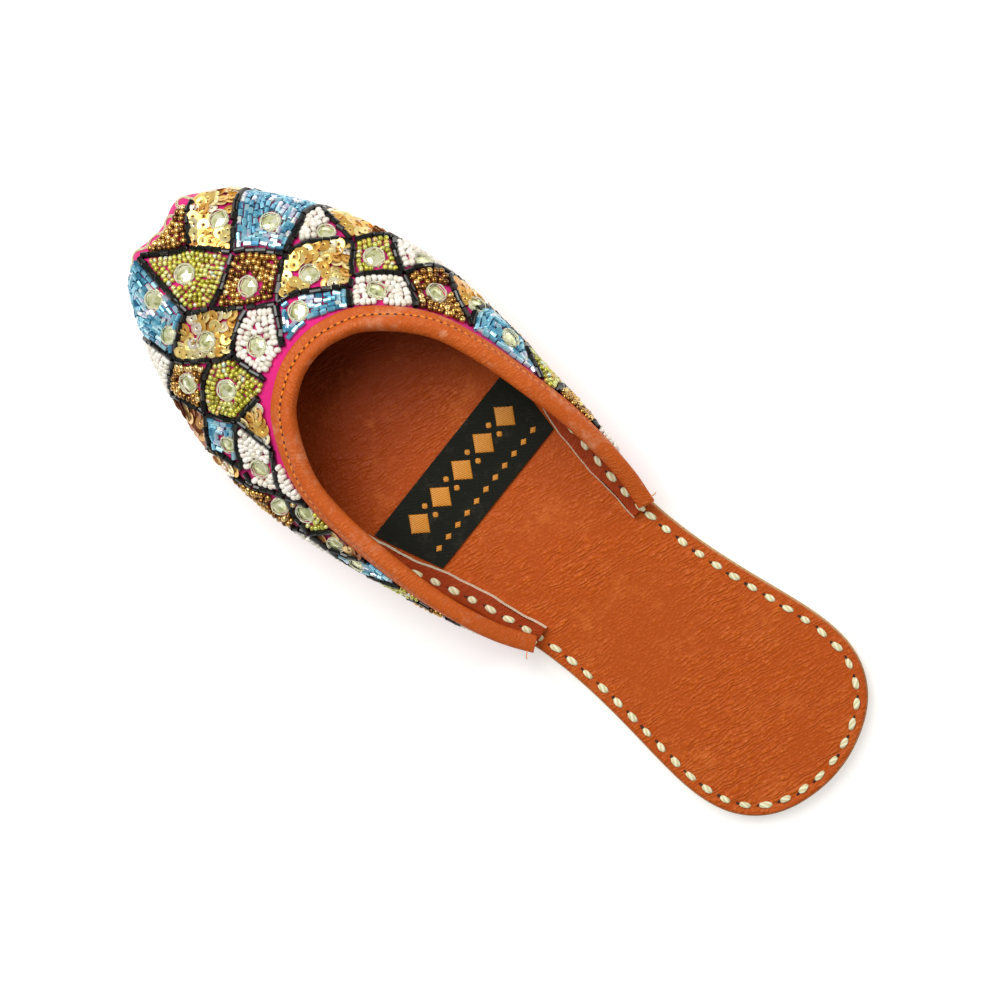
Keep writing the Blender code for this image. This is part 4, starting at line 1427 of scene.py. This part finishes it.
def ring_thread(points_round, step, seed):
    """Thread laid in straight chords: a star that runs over the glass and dives at its rim.

    Corner k stands at k * step parts of the circle. A chord rises between its ends like a sine.
    """
    chance = np.random.default_rng(seed)
    corner = np.arange(points_round) * step * 2 * np.pi / points_round
    corner = corner + chance.normal(0, 0.05, points_round) + chance.random() * 6
    ends = np.stack([np.cos(corner), np.sin(corner)], axis=1)
    ends *= (0.97 + chance.normal(0, 0.02, (points_round, 1)))
    share = np.linspace(0, 1, 7)[:-1]
    following = np.roll(ends, -1, axis=0)
    flat = ends[:, None] * (1 - share)[None, :, None] + following[:, None] * share[None, :, None]
    height = 0.04 + (0.16 + 0.06 * chance.random()) * np.sin(np.pi * share) ** 0.7
    height = np.broadcast_to(height[None, :, None], (*flat.shape[:2], 1))
    return tube(np.concatenate([flat, height], axis=2).reshape(-1, 3), 0.030, 5)


def strands(seed):
    """Points and faces of all the strands round one mirror."""
    parts, faces, start = [], [], 0
    for k, (count, step) in enumerate(((8, 2), (9, 1), (11, 2), (7, 1))):
        points, own = ring_thread(count, step, seed * 10 + k)
        points = points + (0, 0, 0.035 * k)
        parts.append(points)
        faces.append(own + start)
        start += len(points)
    return np.concatenate(parts), np.concatenate(faces)


def cut_glass(sides, profile):
    """A small mirror cut with facets: rows of (radius, height) from its flat top to its back."""
    angle = np.linspace(0, 2 * np.pi, sides, endpoint=False)
    circle = np.stack([np.cos(angle), np.sin(angle), 0 * angle], axis=1)
    points = np.concatenate([circle * radius + (0, 0, height) for radius, height in profile])
    return points, capped(len(profile), sides)


mirror_points, mirror_normals, mirror_ways, mirror_radii = map(np.array, zip(*mirror_spots))
mirror_points = mirror_points + mirror_normals * 0.30 * MM
mirror_normals = unit(mirror_normals + rng.normal(0, 0.11, mirror_normals.shape))
mirror_ways = unit(np.cross(mirror_normals, mirror_ways))
mirror_ways = turned(mirror_ways, mirror_normals, 60)


def set_shapes(name, shapes, look, smooth):
    """One mesh of shapes of radius 1, a shape per mirror in turn, at each mirror's size."""
    all_points, all_faces, chances, start = [], [], [], 0
    for k in range(len(mirror_points)):
        base, faces = shapes[k % len(shapes)]
        side = np.cross(mirror_normals[k], mirror_ways[k])
        axes = np.stack([mirror_ways[k], side, mirror_normals[k]])
        all_points.append(base * mirror_radii[k] * MM @ axes + mirror_points[k])
        all_faces += [[corner + start for corner in face] for face in faces]
        chances.append(rng.random(len(base)))
        start += len(base)
    points = np.concatenate(all_points)
    piece = add_mesh(name, points, all_faces, uv=points[:, :2], smooth=smooth,
                     finish=[look])
    keep_chance(piece, np.concatenate(chances))
    print(name, len(mirror_points), "copies,", len(all_faces), "faces")


FACETS = [(0.02, 0.22), (0.34, 0.19), (0.68, 0.12), (0.97, -0.02), (0.97, -0.08)]
set_shapes("mirror_glass", [cut_glass(sides, FACETS) for sides in (6, 7, 8)], looks["mirror"],
           False)
set_shapes("mirror_thread", [strands(k) for k in range(5)], looks["ring_thread"], True)

# %% [markdown]
# ## Chain stitch on the toe
#
# Round the bare cloth of the toe a fine gold chain stitch runs in small scallops. Each link of a
# chain stitch is a loop that grows out of the one before, drawn here as a flat teardrop of thread.

# %% Toe chain
CHAIN = np.array([
    (0.168, 0.052), (0.150, 0.040), (0.134, 0.066), (0.116, 0.046), (0.102, 0.064), (0.092, 0.112),
    (0.083, 0.138), (0.074, 0.120), (0.068, 0.086), (0.058, 0.082), (0.051, 0.112), (0.052, 0.148),
    (0.042, 0.158), (0.036, 0.124), (0.028, 0.080), (0.018, 0.070), (0.010, 0.094), (0.001, 0.088),
    (-0.007, 0.060), (-0.017, 0.058), (-0.025, 0.082), (-0.035, 0.098), (-0.044, 0.080),
    (-0.053, 0.056), (-0.060, 0.076), (-0.066, 0.100), (-0.074, 0.076), (-0.083, 0.048),
    (-0.094, 0.066), (-0.108, 0.040),
])


def smooth_path(spots, count):
    """A smooth curve through charted spots: between two of them a cubic that keeps their slopes."""
    whole = np.concatenate([2 * spots[:1] - spots[1:2], spots, 2 * spots[-1:] - spots[-2:-1]])
    t = np.linspace(0, len(spots) - 1 - 1e-6, count)
    k = t.astype(int)
    f = (t - k)[:, None]
    a, b, c, d = (whole[k + n] for n in range(4))
    return 0.5 * (2 * b + (c - a) * f + (2 * a - 5 * b + 4 * c - d) * f ** 2
                  + (3 * b - a - 3 * c + d) * f ** 3)


def even_places(points, normals, pitch):
    """Places a pitch apart along a path, with the normals and the ways there."""
    way = np.concatenate([[0], np.cumsum(np.linalg.norm(np.diff(points, axis=0), axis=1))])
    at = np.arange(pitch / 2, way[-1] - pitch / 3, pitch)

    def take(values, where):
        return np.stack([np.interp(where, way, values[:, k]) for k in range(3)], axis=-1)

    ahead = unit(take(points, at + pitch * 0.3) - take(points, at - pitch * 0.3))
    return take(points, at), unit(take(normals, at)), ahead


def chain_link():
    """A teardrop loop of thread along X: an ellipse whose width shrinks towards one end."""
    angle = np.linspace(0, 2 * np.pi, 18, endpoint=False)
    path = np.stack([0.80 * np.cos(angle), 0.50 * np.sin(angle) * (0.75 - 0.35 * np.cos(angle)),
                     0.08 * np.cos(angle)], axis=1) * MM
    return tube(path, 0.14 * MM, 5)


chain = smooth_path(CHAIN, 600)
chain_points, chain_normals = wall_at(chain[:, 0], chain[:, 1] * wall_top(chain[:, 0]), 0.2 * MM)
places, normals, ways = even_places(chain_points, chain_normals, 1.0 * MM)
joined("toe_chain", chain_link(), places, normals, ways, looks["gold_thread"])

# %% [markdown]
# ## Running stitch
#
# Flat cream thread, in short running stitches, holds insole, margin and outsole together all round
# the edge. Each stitch is a flat two ply lens that sinks into the leather at both ends; beside its
# end towards the toe a dark oval paints the shade in the needle hole.

# %% Running stitch round the sole
def flat_stitch(length, width, rise):
    """A short flat two ply thread that dives into the leather at both ends.

    Its height and width fall as powers of the distance from its middle; a bell curve along its top
    parts the two plies.
    """
    share = np.linspace(-1, 1, 11)
    around = np.linspace(0, 2 * np.pi, 12, endpoint=False)
    height = rise * (1 - np.abs(share) ** 3.2) - 0.35 * np.abs(share) ** 6
    half = width / 2 * (1 - 0.62 * np.abs(share) ** 2.4)
    across = np.cos(around)[None, :] * half[:, None]
    groove = 0.12 * np.exp(-(across + 0.1 * share[:, None]) ** 2 / 0.06)
    lift = np.sin(around)[None, :] * 0.42 + height[:, None] - groove * (np.sin(around) > 0)[None, :]
    x = np.repeat(share[:, None] * length / 2, len(around), axis=1)
    points = np.stack([x, across, lift], axis=-1).reshape(-1, 3) * MM
    return points, quad_capped(len(share), len(around))


def pit(length, width):
    """A flat dark oval of painted shade that lies in the mouth of a needle hole."""
    angle = np.linspace(0, 2 * np.pi, 12, endpoint=False)
    outline = np.stack([np.cos(angle) * length / 2, np.sin(angle) * width / 2, 0 * angle], axis=1)
    middle = np.zeros((12, 3)) + (0, 0, 0.02)
    points = np.concatenate([outline * 0.02 + middle, outline, outline - (0, 0, 0.12)]) * MM
    return points, quad_capped(3, 12)


STITCH_PITCH, STITCH_INSET = 6.0 * MM, 3.3 * MM
seam_half = sized(spline(SOLE_LINE, np.linspace(0.0, 1, 700), 2))
seam_half[0, 0] = seam_half[-1, 0] = 0
seam_half = seam_half + inward(seam_half) * STITCH_INSET
seam = seam_half[seam_half[:, 1] > 40 * MM]
whole_seam = np.concatenate([seam, seam[::-1] * (-1, 1, 1)])
on_flange = whole_seam[:, 1] < WING_END * LENGTH
whole_seam[:, 2] = np.where(on_flange, MARGIN_UNDER + WALL, INSOLE_TOP) - 0.10 * MM
seam_points = bent(whole_seam)
seam_normals = np.zeros_like(seam_points) + UP
places, normals, ways = even_places(seam_points, seam_normals, STITCH_PITCH)
toward_toe = np.where(ways[:, 1:2] > 0, 1, -1)
ways = turned(ways * toward_toe, normals, 6)
joined("sole_stitches", flat_stitch(3.5, 1.9, 0.30), places, normals, ways,
       looks["cream_thread"], size_spread(len(places), 0.07))
# painted shade: a dark oval in each needle hole
joined("sole_hole_shade", pit(1.3, 0.75), places + ways * 2.0 * MM + UP * 0.09 * MM, normals, ways,
       looks["hole_shade"], size_spread(len(places), 0.12))

# %% [markdown]
# ## The seam of the binding
#
# The binding is sewn with a thin orange thread in short stitches that lie in the groove beside the
# roll. Between two stitches the needle has left a small hole, its shade painted as a dark oval. At
# each wing end the thread was cut and a short tail of it still stands up.

# %% Binding stitches and thread tails
SEAM_END = 0.985  # share round where the seam stops
GROOVE_ROW = 8  # the row of the binding's profile at the bottom of its groove
seam_share = np.linspace(-SEAM_END, SEAM_END, 2400)
groove_height = (wall_top(seam_share)
                 - BINDING_ROWS[GROOVE_ROW, 0] * STRIP_REACH * narrowing_at(seam_share))
groove_points, groove_normals = wall_at(seam_share, groove_height, 1.00 * MM)
places, normals, ways = even_places(groove_points, groove_normals, 2.2 * MM)
joined("binding_stitches", flat_stitch(1.6, 0.74, 0.30), places, normals,
       turned(ways, normals, 5), looks["orange_thread"],
       size_spread(len(places), 0.08) * (1, 1, 0.7))
# painted shade: a dark oval in each needle hole
joined("binding_hole_shade", pit(0.95, 0.60), places + ways * 1.1 * MM + normals * 0.06 * MM, normals,
       ways, looks["hole_shade"], size_spread(len(places), 0.15))
# a thread tail, mm: out from the leather, back, up
TAIL = np.array([
    (0, 0, -0.6), (0.6, 0.2, 0.3), (1.5, 0.1, 0.9), (2.3, -0.5, 1.2), (2.7, -1.4, 1.5),
])
for side, name in ((1, "thread_tail_right"), (-1, "thread_tail_left")):
    root, out = wall_at(side * SEAM_END, wall_top(SEAM_END) + 0.2 * MM, 0.8 * MM)
    share = np.linspace(0, len(TAIL) - 1, 25)
    curl = np.stack([np.interp(share, np.arange(len(TAIL)), column) for column in TAIL.T], axis=1)
    path = root + (out * curl[:, :1] + UP * curl[:, 2:] - (0, side * 0.3, 0) * curl[:, 1:2]) * MM
    points, faces = tube(path, 0.14 * MM, 6, closed=False)
    add_mesh(name, points, faces, uv=points[:, :2],
             finish=[looks["orange_thread"]])
print("tails at", np.round(root / MM, 1), "mm")

# %% [markdown]
# ## Ribbon across the insole
#
# A black woven ribbon is glued across the insole. It has a plain border of satin stitched diamonds
# with dots between them and a row of small diamonds beside them. Each motif is a low pillow of
# laid thread.

# %% Ribbon and motif
def ribbon_point(x, along, height):
    """Points of the flat last, on the shoe."""
    return bent(np.stack(np.broadcast_arrays(x, along, height), axis=-1))


RIBBON_THICK = 0.5 * MM
ribbon_along = np.linspace(BAND_FRONT, BAND_BACK, 24)
inner_edge = edge + edge_in * (MARGIN_WIDTH + GAP)  # the ribbon is cut a gap away from the margins
ribbon_reach = np.interp(ribbon_along, inner_edge[:, 1], inner_edge[:, 0])
across = np.linspace(-1, 1, 70)
low, high = INSOLE_TOP + 0.15 * MM, INSOLE_TOP + 0.3 * MM + RIBBON_THICK
top_face = ribbon_point(across[:, None] * ribbon_reach[None, :], ribbon_along[None, :], high)
low_face = ribbon_point(across[:, None] * ribbon_reach[None, :], ribbon_along[None, :], low)
ribbon_grid = np.concatenate([top_face, low_face[:, ::-1]], axis=1)
ribbon = add_mesh("ribbon", ribbon_grid.reshape(-1, 3),
                  capped(*ribbon_grid.shape[:2]),
                  "insole_band", ribbon_grid[..., :2].reshape(-1, 2), smooth=False,
                  finish=[looks["black_ribbon"]])


def satin(length, width, height, round_off):
    """A pillow of laid thread: a diamond (round_off 1) or an oval (0.5).

    Its half width is 1 - |share| ^ (1 / round_off) of the whole, its height falls as a parabola.
    """
    share = np.linspace(-1, 1, 21)
    half = width / 2 * np.clip(1 - np.abs(share) ** (1 / round_off), 0.03, 1)
    turn = np.linspace(0, 2 * np.pi, 12, endpoint=False)
    x = np.repeat(share[:, None] * length / 2, len(turn), axis=1)
    y = np.cos(turn)[None, :] * half[:, None]
    z = np.sin(turn)[None, :] * height * (1 - 0.5 * share[:, None] ** 2)
    return np.stack([x, y, z], axis=-1).reshape(-1, 3) * MM, quad_capped(len(share), len(turn))


def motif_row(name, shape, x, along):
    """Copies of a motif at distances from the middle, on one line of the ribbon."""
    at = np.array(x, float) * MM
    level = np.full(len(at), high)
    places = ribbon_point(at, np.full(len(at), along * MM), level)
    ways = np.tile([1.0, 0, 0], (len(at), 1))
    joined(name, shape, places, np.tile(UP, (len(at), 1)), ways,
           looks["motif_thread"])


motif_row("ribbon_diamonds", satin(7.4, 8.4, 0.45, 1.0), np.arange(-2, 3) * 10.0, 114.2)
for name, along in (("ribbon_dots_front", 112.2), ("ribbon_dots_back", 116.2)):
    motif_row(name, satin(1.9, 1.9, 0.35, 0.5), np.arange(-2, 2) * 10.0 + 5.0, along)
motif_row("ribbon_border", satin(2.6, 2.0, 0.35, 1.0), np.arange(-5, 6) * 4.4, 123.4)
print("ribbon:", len(ribbon.data.polygons), "faces")

# %% [markdown]
# ## Camera
#
# The photograph looks almost straight down. The camera stands over a point beside the rear half of
# the shoe, aims at its middle and is rolled so that the shoe lies across the frame as it does there.

# %% Camera
def frame_matrix(x_axis, y_axis, z_axis, origin):
    """The matrix that places an object with these axes at this origin."""
    rows = np.vstack([np.column_stack([x_axis, y_axis, z_axis, origin]), [0, 0, 0, 1]])
    return Matrix(rows.tolist())


AXIS_ANGLE = math.radians(38.43)  # of the shoe's middle line below the picture's horizontal
PIXELS_PER_MM, PICTURE_PIXELS, SENSOR = 3.44, 1000, 36  # the scale holds on the sole's plane
CAMERA_AWAY = 1.1
CAMERA_ASIDE = (0.079, -0.046)  # where the camera stands over the shoe, from its middle
AIM = np.array([0.0, 0.0, 0.006])

place = np.array([*CAMERA_ASIDE, 0]) + AIM + UP * CAMERA_AWAY
back = unit(place - AIM)
picture_up = np.array([math.cos(AXIS_ANGLE), math.sin(AXIS_ANGLE), 0])
right = unit(np.cross(picture_up, back))
up = np.cross(back, right)
camera_data = bpy.data.cameras.new("camera")
camera_data.sensor_width = SENSOR
camera_data.lens = SENSOR * np.linalg.norm(place - AIM) / (MM * PICTURE_PIXELS / PIXELS_PER_MM)
camera_data.clip_end = 20
camera = bpy.data.objects.new("camera", camera_data)
scene.collection.objects.link(camera)
camera.matrix_world = frame_matrix(right, up, back, place)
scene.camera = camera
print("lens:", round(camera_data.lens, 1), "mm")

# %% [markdown]
# ## Floor and light
#
# The shoe was photographed on a white sweep. A big soft light stands beyond the toe, so the vamp
# shades the forefoot and every bead gets one clear glint. Two weaker ones lift the sides, and a
# floor that glows a little keeps the ground as pale as paper.

# %% Floor and light
FLOOR_SIDE = 6.0
KEY_POWER, FILL_POWER, SIDE_POWER = 17.5, 2.0, 4.5
WORLD_STRENGTH, FLOOR_GLOW = 0.20, 0.46
floor_mesh = bpy.data.meshes.new("floor")
corners = [(-FLOOR_SIDE, -FLOOR_SIDE, 0), (FLOOR_SIDE, -FLOOR_SIDE, 0),
           (FLOOR_SIDE, FLOOR_SIDE, 0), (-FLOOR_SIDE, FLOOR_SIDE, 0)]
floor_mesh.from_pydata(corners, [], [(0, 1, 2, 3)])
floor = bpy.data.objects.new("floor", floor_mesh)
scene.collection.objects.link(floor)


def area_light(name, place, aim, size, power, color=(1, 1, 1)):
    """A square soft light at a place, facing its aim."""
    data = bpy.data.lights.new(name, "AREA")
    data.size, data.energy, data.color = size, power, color
    light = bpy.data.objects.new(name, data)
    scene.collection.objects.link(light)
    away = unit(np.array(place, float) - np.array(aim, float))
    side = unit(np.cross((0.01, 1, 0.02), away))
    light.matrix_world = frame_matrix(side, np.cross(away, side), away, place)


area_light("key", (0.12, 0.68, 1.15), (0, 0.02, 0), 0.95, KEY_POWER, (1.0, 0.985, 0.96))
area_light("fill", (-0.95, -0.35, 0.95), (0, 0, 0), 0.9, FILL_POWER, (0.97, 0.985, 1.0))
area_light("side", (1.0, -0.5, 0.8), (0, 0, 0), 0.5, SIDE_POWER)
world = bpy.data.worlds.new("studio")
scene.world = world
world.use_nodes = True
world.node_tree.nodes["Background"].inputs["Color"].default_value = (1, 1, 1, 1)
world.node_tree.nodes["Background"].inputs["Strength"].default_value = WORLD_STRENGTH
scene.view_settings.view_transform = "Standard"


def floor_nodes(tree):
    """White paper, very slightly uneven."""
    wear = use(tree, WEAR, {"Vector": node(tree, "TexCoord").outputs["Object"], "Scale": 3.0,
                            "Amount": 1.0})
    tone = blend(tree, wear.outputs["Patches"], linear(216, 216, 214), linear(212, 212, 210))
    return {"Base Color": tone, "Roughness": sum_of(tree, "MULTIPLY_ADD", wear.outputs["Mask"],
                                                    0.05, 0.8)}


material("studio_floor", floor_nodes, Specular_IOR_Level=0.0,
         Emission_Color=(1, 1, 0.99, 1), Emission_Strength=FLOOR_GLOW)
floor_mesh.materials.append(looks["studio_floor"])
print("lights: key, fill and side, under a pale sky")
